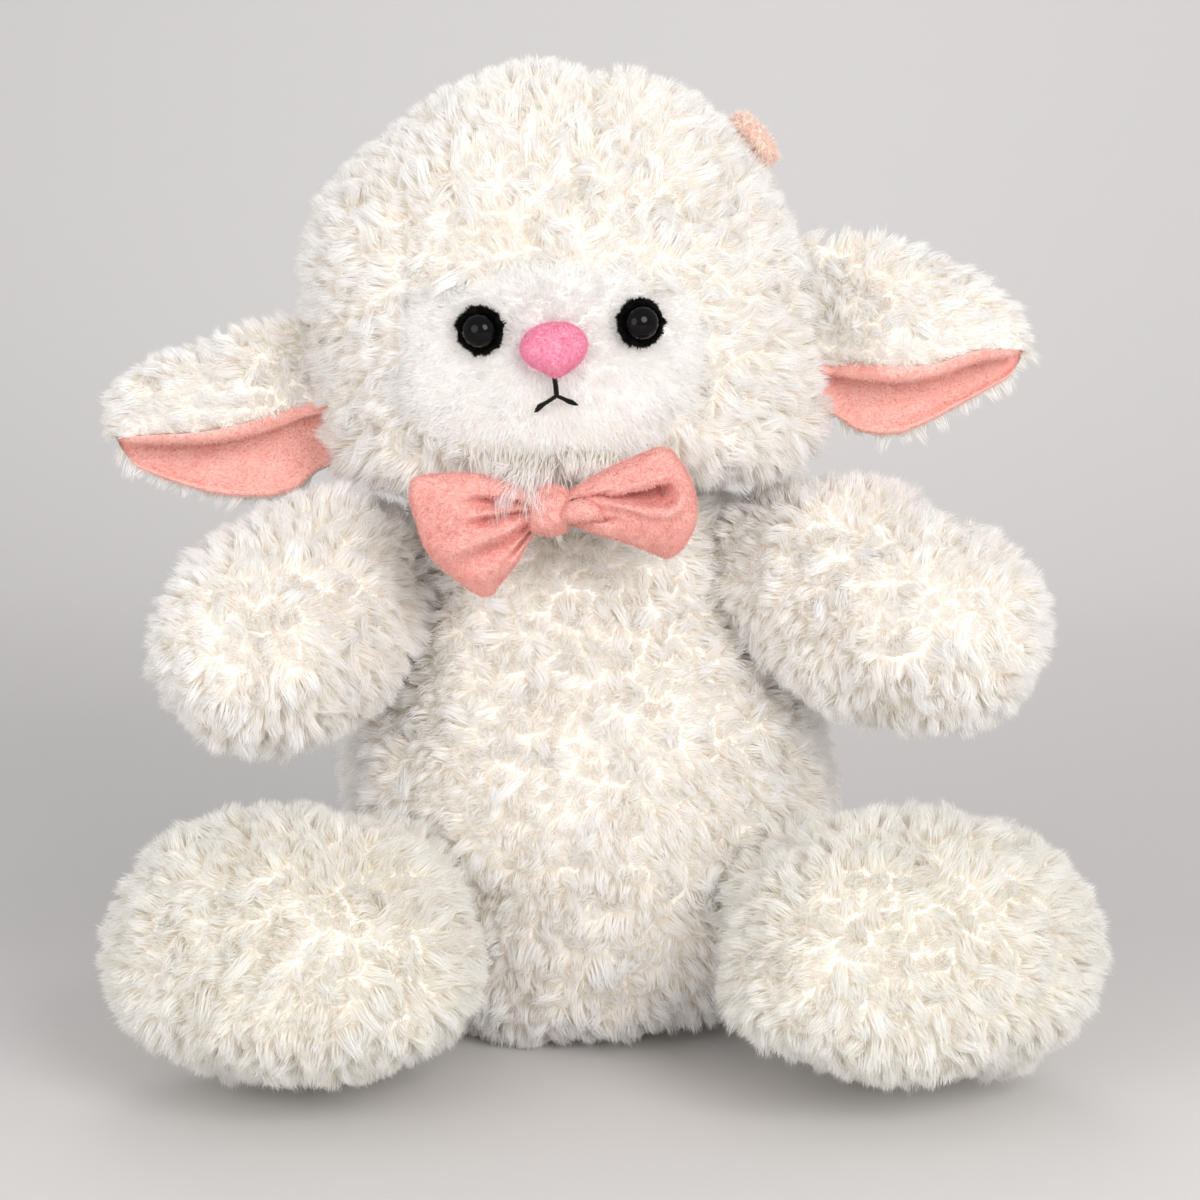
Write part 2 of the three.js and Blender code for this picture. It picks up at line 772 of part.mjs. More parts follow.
function earGroove(side, height) {
  const groove = earKnuckle(2 * jointGap);
  const at = earPlace(side, height);
  groove.translate(at.x, at.y, at.z);
  return groove;
}

function head() {
  const group = new THREE.Group();
  group.position.copy(neckCentre);
  group.rotation.y = headRoll;
  const socket = ballSeat(neckBallRadius, new THREE.Vector3(), seatSides);
  const hollow = stuffedForm(headRows, headSize, fleeceThickness, innerSides);
  const filling = stuffedForm(headRows, headSize, fleeceThickness + 2 * seamGap, innerSides);
  const holes = [leftEyeX, rightEyeX].map(shankHole);
  const pockets = [leftEyeX, rightEyeX].map(washerPocket);
  const grooves = [earGroove(1, leftEarHeight), earGroove(-1, rightEarHeight)];
  const outside = stuffedForm(headRows, headSize, 0, roundSides);
  const skin = cut(outside, [hollow, socket, ...holes, ...grooves]);
  group.add(piece('head_skin', skin, cloth(fleeceColour)));
  group.add(piece('head_stuffing', cut(filling, [socket, ...pockets]), cloth(fillingColour)));
  group.add(eye('left_eye', leftEyeX));
  group.add(eye('right_eye', rightEyeX));
  group.add(nose());
  group.add(mouth());
  group.add(horn('left_horn', 1, leftHornBack));
  group.add(horn('right_horn', -1, rightHornBack));
  group.add(ear('left_ear', 1, leftEarHeight, leftEarTilt));
  group.add(ear('right_ear', -1, rightEarHeight, rightEarTilt));
  return group;
}

// One velour tube, pinched in the middle and flared into two pleated loops
function bowSection(along, rise, halfHeight, halfThickness, pleatShare) {
  const points = [];
  for (let i = 0; i < bowSides; i += 1) {
    const angle = (i / bowSides) * 2 * Math.PI;
    const pleat = 1 - pleatShare * Math.cos(bowPleats * angle) ** 2;
    const height = halfHeight * Math.sin(angle) + Math.abs(along) * Math.sin(rise);
    points.push(new THREE.Vector3(
      along * Math.cos(rise), halfThickness * Math.cos(angle) * pleat, height,
    ));
  }
  return points;
}

function bowLoop(side, length, rise, halfHeight) {
  return bowLoopShares.map(([place, high, thick]) => bowSection(
    side * length * place, rise, halfHeight * high, bowHalfThickness * thick,
    pleatDepthShare * (1 - place),
  ));
}

function bowLoops() {
  return loft([
    ...bowLoop(-1, rightLoopLength, rightLoopRise, rightLoopHalfHeight).reverse(),
    bowSection(-knotHalfLength, 0, bowPinchRadius, bowPinchRadius, 0),
    bowSection(knotHalfLength, 0, bowPinchRadius, bowPinchRadius, 0),
    ...bowLoop(1, leftLoopLength, leftLoopRise, leftLoopHalfHeight),
  ]);
}

// The knot is a band rolled round the pinch
function knotForm() {
  const inner = bowPinchRadius + seamGap;
  const corners = knotOutlineShares.map(([thick, along]) => [
    inner + knotThickness * thick, knotHalfLength * along,
  ]);
  const geometry = turned(corners, innerSides);
  geometry.rotateY(Math.PI / 2);
  return geometry;
}

// The thread that tacks the knot to the chest
function bowTack() {
  const share = bodyShareAt(tackHeight);
  const chest = new THREE.Vector3(axisX(tackHeight), -bodyHalfDepth * share - 2 * seamGap, tackHeight);
  const knot = new THREE.Vector3(bowX, -bowForward, bowHeight);
  const along = knot.clone().sub(chest);
  const length = along.length() - (bowPinchRadius + knotThickness + 2 * seamGap);
  const mesh = piece('bow_tack', closedBody(upright(tackRadius, 0, length)), cloth(coralColour));
  mesh.position.copy(chest);
  mesh.quaternion.setFromUnitVectors(new THREE.Vector3(0, 0, 1), along.normalize());
  return mesh;
}

function bow() {
  const group = new THREE.Group();
  group.position.set(bowX, -bowForward, bowHeight);
  group.rotation.x = bowTilt;
  group.add(piece('bow_loops', closedBody(bowLoops()), cloth(coralColour)));
  group.add(piece('bow_knot', closedBody(knotForm()), cloth(coralColour)));
  return group;
}

const lamb = new THREE.Group();
lamb.add(torso());
lamb.add(head());
lamb.add(bow());
lamb.add(bowTack());
lamb.add(limb('left_arm', armShape, limbGroup(1, leftShoulder, leftArmYaw, leftArmDroop)));
lamb.add(limb('right_arm', armShape, limbGroup(-1, rightShoulder, rightArmYaw, rightArmDroop)));
lamb.add(limb('left_leg', legShape, limbGroup(1, leftHip, legYaw, 0)));
lamb.add(limb('right_leg', legShape, limbGroup(-1, rightHip, legYaw, 0)));

export default lamb;
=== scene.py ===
import math
from itertools import product

import bmesh
import bpy
import numpy as np
from mathutils import Matrix, Vector
from mathutils.kdtree import KDTree


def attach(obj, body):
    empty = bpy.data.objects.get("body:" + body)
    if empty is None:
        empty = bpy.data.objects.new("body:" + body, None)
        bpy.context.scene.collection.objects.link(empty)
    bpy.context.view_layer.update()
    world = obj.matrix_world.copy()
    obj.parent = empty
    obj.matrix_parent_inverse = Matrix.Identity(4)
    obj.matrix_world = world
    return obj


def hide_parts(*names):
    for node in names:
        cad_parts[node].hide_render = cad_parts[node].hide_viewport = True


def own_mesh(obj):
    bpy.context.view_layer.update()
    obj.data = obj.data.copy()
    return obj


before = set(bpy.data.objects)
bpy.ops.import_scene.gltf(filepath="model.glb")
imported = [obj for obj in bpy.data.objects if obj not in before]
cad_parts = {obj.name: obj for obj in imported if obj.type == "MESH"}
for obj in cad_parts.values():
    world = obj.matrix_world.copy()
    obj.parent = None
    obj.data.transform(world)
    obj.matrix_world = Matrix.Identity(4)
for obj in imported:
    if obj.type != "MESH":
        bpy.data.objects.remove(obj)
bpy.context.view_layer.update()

# A plush lamb in long curly fleece. Lengths are in millimetres until a mesh is made. The lamb looks towards -Y, so its
# left side, at +X, is on the viewer's right. Where a number is given for each side, 1 is its left and -1 its right.
MM = 0.001


# ---------------------------------------------------------------- helpers for numbers
def smooth(rows, count):
    """Points along a centripetal Catmull-Rom curve through rows."""
    p = np.array(rows, float)
    p = np.vstack([2 * p[0] - p[1], p, 2 * p[-1] - p[-2]])
    out = []
    spans = len(p) - 3
    for u in np.linspace(0, spans, count):
        i = min(int(u), spans - 1)
        a, b, c, d = p[i : i + 4]
        t0 = 0.0
        t1 = t0 + max(np.linalg.norm(b - a), 1e-9) ** 0.5
        t2 = t1 + max(np.linalg.norm(c - b), 1e-9) ** 0.5
        t3 = t2 + max(np.linalg.norm(d - c), 1e-9) ** 0.5
        t = t1 + (u - i) * (t2 - t1)
        a1 = (t1 - t) / (t1 - t0) * a + (t - t0) / (t1 - t0) * b
        a2 = (t2 - t) / (t2 - t1) * b + (t - t1) / (t2 - t1) * c
        a3 = (t3 - t) / (t3 - t2) * c + (t - t2) / (t3 - t2) * d
        b1 = (t2 - t) / (t2 - t0) * a1 + (t - t0) / (t2 - t0) * a2
        b2 = (t3 - t) / (t3 - t1) * a2 + (t - t1) / (t3 - t1) * a3
        out.append((t2 - t) / (t2 - t1) * b1 + (t - t1) / (t2 - t1) * b2)
    return np.array(out)


def closed_curve(rows, count):
    """Points round a closed curve, the first of them at the first row."""
    rows, per_row = list(rows), 32
    line = smooth(rows[-2:] + rows + rows[:3], (len(rows) + 4) * per_row + 1)
    return line[2 * per_row : (2 + len(rows)) * per_row : len(rows) * per_row // count]


def unit(v):
    return v / np.maximum(np.linalg.norm(v, axis=-1, keepdims=True), 1e-9)


def waves(points, size, seed, count=22):
    """A smooth random field of about unit height whose lumps are about `size` across."""
    rng = np.random.default_rng(seed)
    d = unit(rng.normal(size=(count, 3)))
    k = 2 * math.pi / (size * rng.uniform(1.3, 2.6, count))
    phase = rng.uniform(0, 2 * math.pi, count)
    return np.sin(points @ (d * k[:, None]).T + phase).sum(1) / math.sqrt(count / 2)


def ramp(x, low, high):
    """A soft step from 0 at low to 1 at high."""
    t = np.clip((x - low) / (high - low), 0, 1)
    return t * t * (3 - 2 * t)


def bell(x, middle, width):
    return np.exp(-(((x - middle) / width) ** 2))


def matrix_y(angle):
    """A turn about Y."""
    c, s = math.cos(angle), math.sin(angle)
    return np.array([[c, 0, s], [0, 1, 0], [-s, 0, c]])


# ---------------------------------------------------------------- sizes of the forms
# The body leans a little to one side of its seat
LEAN = math.radians(-5.5)
SEAT_X = 3.0
BODY = dict(height=162, half_width=71.5, half_depth=58.5, base=-4)
# Each row of a form: its place from the bottom or root, and its width there, as shares
BODY_SHARES = [
    [0, 0], [0.01, 0.42], [0.035, 0.68], [0.09, 0.86], [0.2, 0.96], [0.38, 1], [0.48, 0.985],
    [0.57, 0.93], [0.665, 0.835], [0.755, 0.755], [0.84, 0.69], [0.905, 0.6], [0.955, 0.44], [1, 0],
]
HEAD = dict(height=119, half_width=72, half_depth=60, base=5)
# The third share moves the row sideways
HEAD_SHARES = [
    [0, 0, 0.07], [0.008, 0.4, 0.07], [0.03, 0.74, 0.075], [0.09, 0.925, 0.075], [0.183, 0.985, 0.06],
    [0.303, 1, 0.04], [0.424, 0.995, 0.02], [0.544, 0.975, 0.01], [0.664, 0.885, 0.03],
    [0.784, 0.715, 0.07], [0.903, 0.49, 0.14], [0.975, 0.25, 0.17], [1, 0, 0.18],
]
HEAD_ROLL = math.radians(-2.5)
NECK_Z = 149.3
# A limb's rows: place, width and height
ARM_SHARES = [
    [0.1, 0.83, 0.86], [0.2, 0.93, 0.98], [0.32, 1, 1.04], [0.45, 1, 1.04], [0.62, 0.98, 0.99],
    [0.77, 0.87, 0.86], [0.89, 0.66, 0.63], [0.965, 0.38, 0.36], [1, 0, 0],
]
LEG_SHARES = [
    [0.08, 0.61, 0.73], [0.2, 0.76, 0.83], [0.36, 0.94, 0.95], [0.52, 1, 1], [0.66, 0.98, 0.98],
    [0.8, 0.86, 0.86], [0.91, 0.62, 0.62], [0.975, 0.34, 0.34], [1, 0, 0],
]
TAIL_SHARES = [[0.25, 1, 1], [0.5, 0.97, 0.97], [0.75, 0.78, 0.78], [0.93, 0.42, 0.42], [1, 0, 0]]
ARM = {
    side: dict(root=22, half_width=30, half_height=31, length=length, shares=ARM_SHARES)
    for side, length in ((1, 87), (-1, 83))
}
LEG = dict(root=29, half_width=54, half_height=41.5, length=86, shares=LEG_SHARES)
TAIL = dict(root=10, half_width=12, half_height=12, length=26, shares=TAIL_SHARES)


def axis_x(z):
    """Where the leaning body's middle is at a height."""
    return SEAT_X + z * math.tan(LEAN)


NECK = np.array([axis_x(NECK_Z), 0, NECK_Z])
SHOULDERS = {1: np.array([axis_x(127) + 57, -12, 127.0]), -1: np.array([axis_x(123) - 56, -12, 123.0])}
HIPS = {1: np.array([axis_x(39.1) + 60, -45, 39.1]), -1: np.array([axis_x(39.1) - 57, -45, 39.1])}
# How far the limbs turn forward from straight out to the side, and how far the arms droop
ARM_YAW = {1: math.radians(38), -1: math.radians(59)}
ARM_DROOP = {1: math.radians(6.5), -1: math.radians(5.5)}
LEG_YAW = math.radians(60)
TAIL_ROOT = np.array([-0.852, 59.05, 40.0])
TAIL_PITCH = math.radians(12)


# ---------------------------------------------------------------- grids of the forms
def rings(rows, sides, place):
    """Rings of points: place(row, cosines, sines) gives each ring."""
    turn = np.linspace(0, 2 * math.pi, sides, endpoint=False)
    return np.stack([place(row, np.cos(turn), np.sin(turn)) for row in rows])


def stuffed(size, shares, sides, count):
    """An upright form with oval rings."""

    def place(row, c, s):
        share = max(row[1], 0.002)
        drift = row[2] if len(row) > 2 else 0
        x = size["half_width"] * (drift + share * c)
        z = np.full_like(c, size["base"] + size["height"] * row[0])
        return np.stack([x, size["half_depth"] * share * s, z], 1)

    return rings(smooth(shares, count), sides, place)


def body_grid(sides=150, count=120):
    g = stuffed(BODY, BODY_SHARES, sides, count) @ matrix_y(LEAN).T
    return g + np.array([SEAT_X, 0, 0])


HEAD_TURN = matrix_y(HEAD_ROLL)
LEFT_EYE_X, RIGHT_EYE_X, EYE_HEIGHT = 24.0, -17.2, 53.6
NOSE_X, NOSE_HEIGHT = 1.5, 48.0


def head_grid(sides=160, count=110):
    return stuffed(HEAD, HEAD_SHARES, sides, count) @ HEAD_TURN.T + NECK


def limb_matrix(side, yaw, droop):
    """Axes across, up and along a limb."""
    level = math.cos(droop)
    along = np.array([side * math.cos(yaw) * level, -math.sin(yaw) * level, -math.sin(droop)])
    across = unit(np.array([-along[1], along[0], 0]))
    return np.stack([across, np.cross(along, across), along], 1)


def limb_grid(shape, centre, matrix, sides=96, count=70):
    """A limb with a ball for its root, which stays hidden in the body."""
    root = [[-math.cos(a), math.sin(a)] for a in np.linspace(0.02, math.pi / 2, 16)]
    first = [0, shape["root"] / shape["half_width"], shape["root"] / shape["half_height"]]
    outside = smooth([first] + shape["shares"], count)
    rows = [("root", *r) for r in root] + [("outside", *r) for r in outside[1:]]

    def place(row, c, s):
        if row[0] == "root":
            z, wide = shape["root"] * row[1], shape["root"] * row[2]
            return np.stack([wide * c, wide * s, np.full_like(c, z)], 1)
        wide, high = max(row[2], 0.002) * shape["half_width"], max(row[3], 0.002) * shape["half_height"]
        return np.stack([wide * c, high * s, np.full_like(c, row[1] * shape["length"])], 1)

    return rings(rows, sides, place) @ matrix.T + centre


def grid_normals(g, closed=True):
    """Outward normals of a grid of rings."""
    du = np.roll(g, -1, 1) - np.roll(g, 1, 1) if closed else np.gradient(g, axis=1)
    dv = np.gradient(g, axis=0)
    n = unit(np.cross(du, dv))
    if closed:
        flat = n[1:-1].reshape(-1, 3)
        away = (g[1:-1] - g.mean((0, 1))).reshape(-1, 3)
        if (flat * away).sum() < 0:
            n = -n
        for end, other in ((0, 2), (-1, -3)):
            n[end] = unit(n[other].mean(0))
    return n


# ---------------------------------------------------------------- meshes
def make_mesh(name, verts, faces, sizes, material, uv=None):
    """A mesh from flat arrays: places in millimetres, the faces' corners in a row, and how many each face has."""
    mesh = bpy.data.meshes.new(name)
    mesh.vertices.add(len(verts))
    mesh.vertices.foreach_set("co", (np.asarray(verts, float) * MM).astype(np.float32).ravel())
    faces, sizes = np.asarray(faces, np.int32), np.asarray(sizes, np.int32)
    mesh.loops.add(len(faces))
    mesh.polygons.add(len(sizes))
    mesh.loops.foreach_set("vertex_index", faces)
    mesh.polygons.foreach_set("loop_start", np.concatenate([[0], np.cumsum(sizes)[:-1]]).astype(np.int32))
    mesh.polygons.foreach_set("loop_total", sizes)
    mesh.polygons.foreach_set("use_smooth", np.full(len(sizes), True))
    mesh.update(calc_edges=True)
    if uv is not None:
        layer = mesh.uv_layers.new(name="OFBake")
        layer.data.foreach_set("uv", np.asarray(uv, np.float32)[faces].ravel())
    mesh.materials.append(material)
    obj = bpy.data.objects.new(name, mesh)
    bpy.context.scene.collection.objects.link(obj)
    return obj


def grid_mesh(name, g, material):
    """A closed mesh over a grid of closed rings, with a face over each end."""
    rows, cols = g.shape[:2]
    i, j = np.meshgrid(np.arange(rows - 1), np.arange(cols), indexing="ij")
    k = (j + 1) % cols
    walls = np.stack([i * cols + j, i * cols + k, (i + 1) * cols + k, (i + 1) * cols + j], -1).reshape(-1, 4)
    faces = np.concatenate([walls.ravel(), np.arange(cols)[::-1], (rows - 1) * cols + np.arange(cols)])
    sizes = np.concatenate([np.full(len(walls), 4), [cols, cols]])
    obj = make_mesh(name, g.reshape(-1, 3), faces, sizes, material)
    bm = bmesh.new()
    bm.from_mesh(obj.data)
    bmesh.ops.recalc_face_normals(bm, faces=bm.faces)
    bm.to_mesh(obj.data)
    bm.free()
    return obj


def fit(obj, node, body, slot):
    """Put a piece in the place of a solid, whose part it hides, and on its body. slot is not used."""
    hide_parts(node)
    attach(obj, body)
    return obj


# ---------------------------------------------------------------- materials
def linear(hex_colour):
    """An sRGB hex value as the linear colour that a shader takes."""
    out = []
    for i in (1, 3, 5):
        c = int(hex_colour[i : i + 2], 16) / 255
        out.append(c / 12.92 if c <= 0.04045 else ((c + 0.055) / 1.055) ** 2.4)
    return (*out, 1)


def add(tree, kind, inputs=None, stops=(), **settings):
    """Adds a node with its settings, its links and values, and a colour ramp's stops."""
    node = tree.nodes.new(kind)
    for number, (at, colour) in enumerate(stops):
        elements = node.color_ramp.elements
        element = elements[number] if number < len(elements) else elements.new(at)
        element.position, element.color = at, linear(colour)
    for key, value in settings.items():
        setattr(node, key, value)
    for key, value in (inputs or {}).items():
        if isinstance(value, bpy.types.NodeSocket):
            tree.links.new(value, node.inputs[key])
        else:
            node.inputs[key].default_value = value
    return node


def new_material(name):
    material = bpy.data.materials.new(name)
    material.use_nodes = True
    material.node_tree.nodes.clear()
    return material, material.node_tree


def pile_material(name, root, middle, tip, tint, through=0.5, rough=0.9):
    """Fibres that some light passes through: paler from root to tip, a painted shade deep in the pile and a painted
    sheen at the tips, and a little different from lock to lock.
    """
    material, tree = new_material(name)
    height = add(tree, "ShaderNodeAttribute", attribute_name="pile_height").outputs["Fac"]
    lock_tone = add(tree, "ShaderNodeAttribute", attribute_name="lock_tone").outputs["Fac"]
    # Painted shade and sheen: each fibre darker at its root, deep in the pile, and paler at its tip
    length = add(tree, "ShaderNodeValToRGB", {"Fac": height}, [(0.0, root), (0.45, middle), (0.95, tip)])
    lock = add(tree, "ShaderNodeValToRGB", {"Fac": lock_tone}, [(0.0, "#ffffff"), (1.0, tint)])
    colour = add(
        tree,
        "ShaderNodeMix",
        {"Factor": 1.0, 6: length.outputs["Color"], 7: lock.outputs["Color"]},
        data_type="RGBA",
        blend_type="MULTIPLY",
    )
    surface = add(
        tree,
        "ShaderNodeBsdfPrincipled",
        {"Base Color": colour.outputs[2], "Roughness": rough, "Specular IOR Level": 0.18},
    )
    behind = add(tree, "ShaderNodeBsdfTranslucent", {"Color": colour.outputs[2]})
    both = add(tree, "ShaderNodeMixShader", {"Fac": through, 1: surface.outputs[0], 2: behind.outputs[0]})
    add(tree, "ShaderNodeOutputMaterial", {"Surface": both.outputs[0]})
    return material


# The spacing of a fine knit's threads, drawn twice as coarse so that it shows, and their height
THREAD_SPACING, CLOTH_RELIEF = 0.9, 0.5


def cloth_material(name, low, high, scale_mm, rough=0.95, sheen=0.0, bump=0.3, sheen_colour="#ffffff"):
    """Knitted or brushed cloth: slow colour changes of a size in millimetres, and threads in its surface."""
    material, tree = new_material(name)
    place = add(tree, "ShaderNodeTexCoord").outputs["Object"]
    broad = add(
        tree,
        "ShaderNodeTexNoise",
        {"Vector": place, "Scale": 1 / (scale_mm * MM), "Detail": 5.0, "Roughness": 0.6},
    ).outputs["Fac"]
    threads = add(
        tree,
        "ShaderNodeTexNoise",
        {"Vector": place, "Scale": 1 / (THREAD_SPACING * MM), "Detail": 3.0, "Roughness": 0.7},
    ).outputs["Fac"]
    colour = add(tree, "ShaderNodeValToRGB", {"Fac": broad}, [(0.3, low), (0.7, high)]).outputs["Color"]
    raised = add(tree, "ShaderNodeBump", {"Strength": bump, "Distance": CLOTH_RELIEF * MM, "Height": threads})
    surface = add(
        tree,
        "ShaderNodeBsdfPrincipled",
        {
            "Base Color": colour, "Roughness": rough, "Specular IOR Level": 0.15, "Normal": raised.outputs[0],
            "Sheen Weight": sheen, "Sheen Roughness": 0.45, "Sheen Tint": linear(sheen_colour),
        },
    )
    add(tree, "ShaderNodeOutputMaterial", {"Surface": surface.outputs[0]})
    return material


RUB_SIZE = 1.2


def plastic_material(name, colour, rough):
    """Moulded plastic, rubbed here and there in patches of RUB_SIZE millimetres."""
    material, tree = new_material(name)
    place = add(tree, "ShaderNodeTexCoord").outputs["Object"]
    wear = add(tree, "ShaderNodeTexNoise", {"Vector": place, "Scale": 1 / (RUB_SIZE * MM), "Detail": 3.0})
    rubbed = add(
        tree,
        "ShaderNodeMapRange",
        {"Value": wear.outputs["Fac"], "To Min": rough * 0.7, "To Max": rough * 1.6},
    )
    surface = add(
        tree,
        "ShaderNodeBsdfPrincipled",
        {"Base Color": linear(colour), "Roughness": rubbed.outputs[0], "Specular IOR Level": 0.16},
    )
    add(tree, "ShaderNodeOutputMaterial", {"Surface": surface.outputs[0]})
    return material


# Long polyester fleece, knitted, sheared and tumbled into tufts: matt and nearly white, dark where the tufts shade
# each other, with a faint painted shade at the fibres' roots and light let through at the tips
WOOL = pile_material("long_fleece_pile", "#fdfaf5", "#fefefe", "#fefefe", "#fefcf9")
# The same fleece on the feet, painted a touch darker: painted shade that keeps the feet, nearer the lamps, from
# coming out brighter than the body
FOOT_WOOL_PAINTED_SHADE = pile_material("foot_fleece_pile_painted_shade", "#fbf8f2", "#fcfcfb", "#fcfcfb", "#fcfaf6")
# Short plush, sheared level: an even, soft white with a fine grain
FACE = pile_material("short_white_pile", "#faf9f8", "#fcfcfb", "#fdfcfc", "#fcfbfa")
# Curly plush dyed peach: a close, warm curl
HORN = pile_material("peach_curly_pile", "#fdeee6", "#fef3ed", "#fef8f4", "#fdf8f4")
# Velour, a knit brushed to a short nap: a full dyed colour, with painted shade at the nap's roots and a painted sheen
# in its paler tips, which shows as a soft, paler edge where the nap is seen side on
PINK_PILE = pile_material("pink_velour_pile", "#ee8db0", "#f5b2ca", "#fbdde8", "#f9e4ec", through=0.3)
CORAL_PILE = pile_material("coral_velour_pile", "#eeb4aa", "#f2c4bc", "#f6d9d3", "#f6e3df", through=0.3)
# The ear's nap, painted lighter than the bow's: painted light that lifts the shade it lies in under the ear
LINING_PILE = pile_material("ear_velour_pile", "#f3bbb0", "#f7cbc2", "#fae0da", "#fbeae5", through=0.3)
# Plush dyed black: so dark that only its loose edge is seen
BLACK_PILE = pile_material("black_ring_pile", "#050505", "#0a0a0a", "#15130f", "#e8e8e8", through=0.1, rough=0.7)
# The knit that carries the fleece, undyed and soft: a pale ground between the tufts
BACKING = cloth_material("knitted_backing", "#fcf9f4", "#fefcfa", 6, bump=0.4)
# The velours' ground cloth, piece-dyed: slow changes of tone over a few millimetres and a soft sheen
VELOUR_GROUND = dict(rough=0.9, sheen=0.5, bump=0.5)
CORAL = cloth_material("coral_velour", "#e9aca2", "#eebab1", 5, sheen_colour="#ffe0da", **VELOUR_GROUND)
# The ear's lining: the bow's coral velour painted lighter, with more sheen, as painted light that lifts the shade under
# the ear
LINING = cloth_material("ear_velour", "#f3b9ad", "#f8c8be", 5, rough=0.9, sheen=0.6, bump=0.5, sheen_colour="#ffe4de")
PINK = cloth_material("pink_velour", "#f2a0bc", "#f5b2c9", 4, sheen_colour="#ffdfe8", **VELOUR_GROUND)
# The black plush's ground: no shine
BLACK_CLOTH = cloth_material("black_ring_cloth", "#060606", "#0d0c0b", 2, rough=0.9, bump=0.4)
# Spun and waxed sewing thread: dark, twisted, with a dull sheen along the twist
THREAD = cloth_material("black_thread", "#0d0b0a", "#1b1816", 1.5, rough=0.8, sheen=0.1, bump=0.5)
# The same thread undyed, for the bow's tacking
WHITE_THREAD = cloth_material("white_thread", "#f4efe4", "#fbf8f1", 1.5, rough=0.8, sheen=0.1, bump=0.5)
# Black plastic moulded in a polished tool: a deep, hard gloss that mirrors the lamps, with faint rubbing
EYE = plastic_material("black_gloss_plastic", "#070606", 0.06)
# The ground of the curly plush: a pale peach between its curls
HORN_BACK = cloth_material("peach_backing", "#fbe8dd", "#fdf0e9", 4, bump=0.5)
# Nylon straight from the mould: a satin off-white
WASHER = plastic_material("white_nylon", "#dedede", 0.5)
# Carded polyester stuffing: cloudy, matt and white
FIBRE = cloth_material("polyester_fibre", "#efefec", "#fafaf8", 4, bump=0.6)
# Plain-woven cotton of the pellet bag: a dull, unbleached cream
BAG = cloth_material("pellet_bag_cloth", "#ded8c9", "#ece6da", 5, bump=0.6)


# ---------------------------------------------------------------- pile
def scatter(g, normals, per_mm2, rng, closed=True, keep=None, marks=None):
    """Random places on a grid surface: points and normals, and the grid's marks there if it has any."""
    rows, cols = g.shape[:2]
    last = cols if closed else cols - 1
    i, j = np.meshgrid(np.arange(rows - 1), np.arange(last), indexing="ij")
    i, j = i.ravel(), j.ravel()
    k = (j + 1) % cols
    a, b, c, d = g[i, j], g[i, k], g[i + 1, k], g[i + 1, j]
    area = 0.5 * np.linalg.norm(np.cross(c - a, d - b), axis=1)
    if keep is not None:
        area = area * keep(0.25 * (a + b + c + d))
    count = int(area.sum() * per_mm2)
    cell = rng.choice(len(area), count, p=area / area.sum())
    u, v = rng.random((2, count, 1))
    i, j, k = i[cell], j[cell], k[cell]

    def at(f):
        return (f[i, j] * (1 - u) + f[i, k] * u) * (1 - v) + (f[i + 1, j] * (1 - u) + f[i + 1, k] * u) * v

    if marks is None:
        return at(g), unit(at(normals))
    return at(g), unit(at(normals)), at(marks)


NEIGHBOURS = list(product((-1, 0, 1), repeat=3))


def spaced(points, distance, rng):
    """Indices of points that keep at least a distance from each other."""
    keys = np.floor(points / distance).astype(int)
    taken, chosen = {}, []
    for index in rng.permutation(len(points)):
        x, y, z = keys[index]
        apart = (points[index] - p for a, b, c in NEIGHBOURS for p in taken.get((x + a, y + b, z + c), ()))
        if all(np.dot(d, d) >= distance * distance for d in apart):
            taken.setdefault((x, y, z), []).append(points[index])
            chosen.append(index)
    return np.array(chosen)


# The width along a fibre, and how far the fibres of a tuft turn their flat sides from each other
TAPER_AT, TAPER_WIDTH = [0, 0.6, 1], [1, 0.9, 0.16]
FACING_SCATTER = 0.36


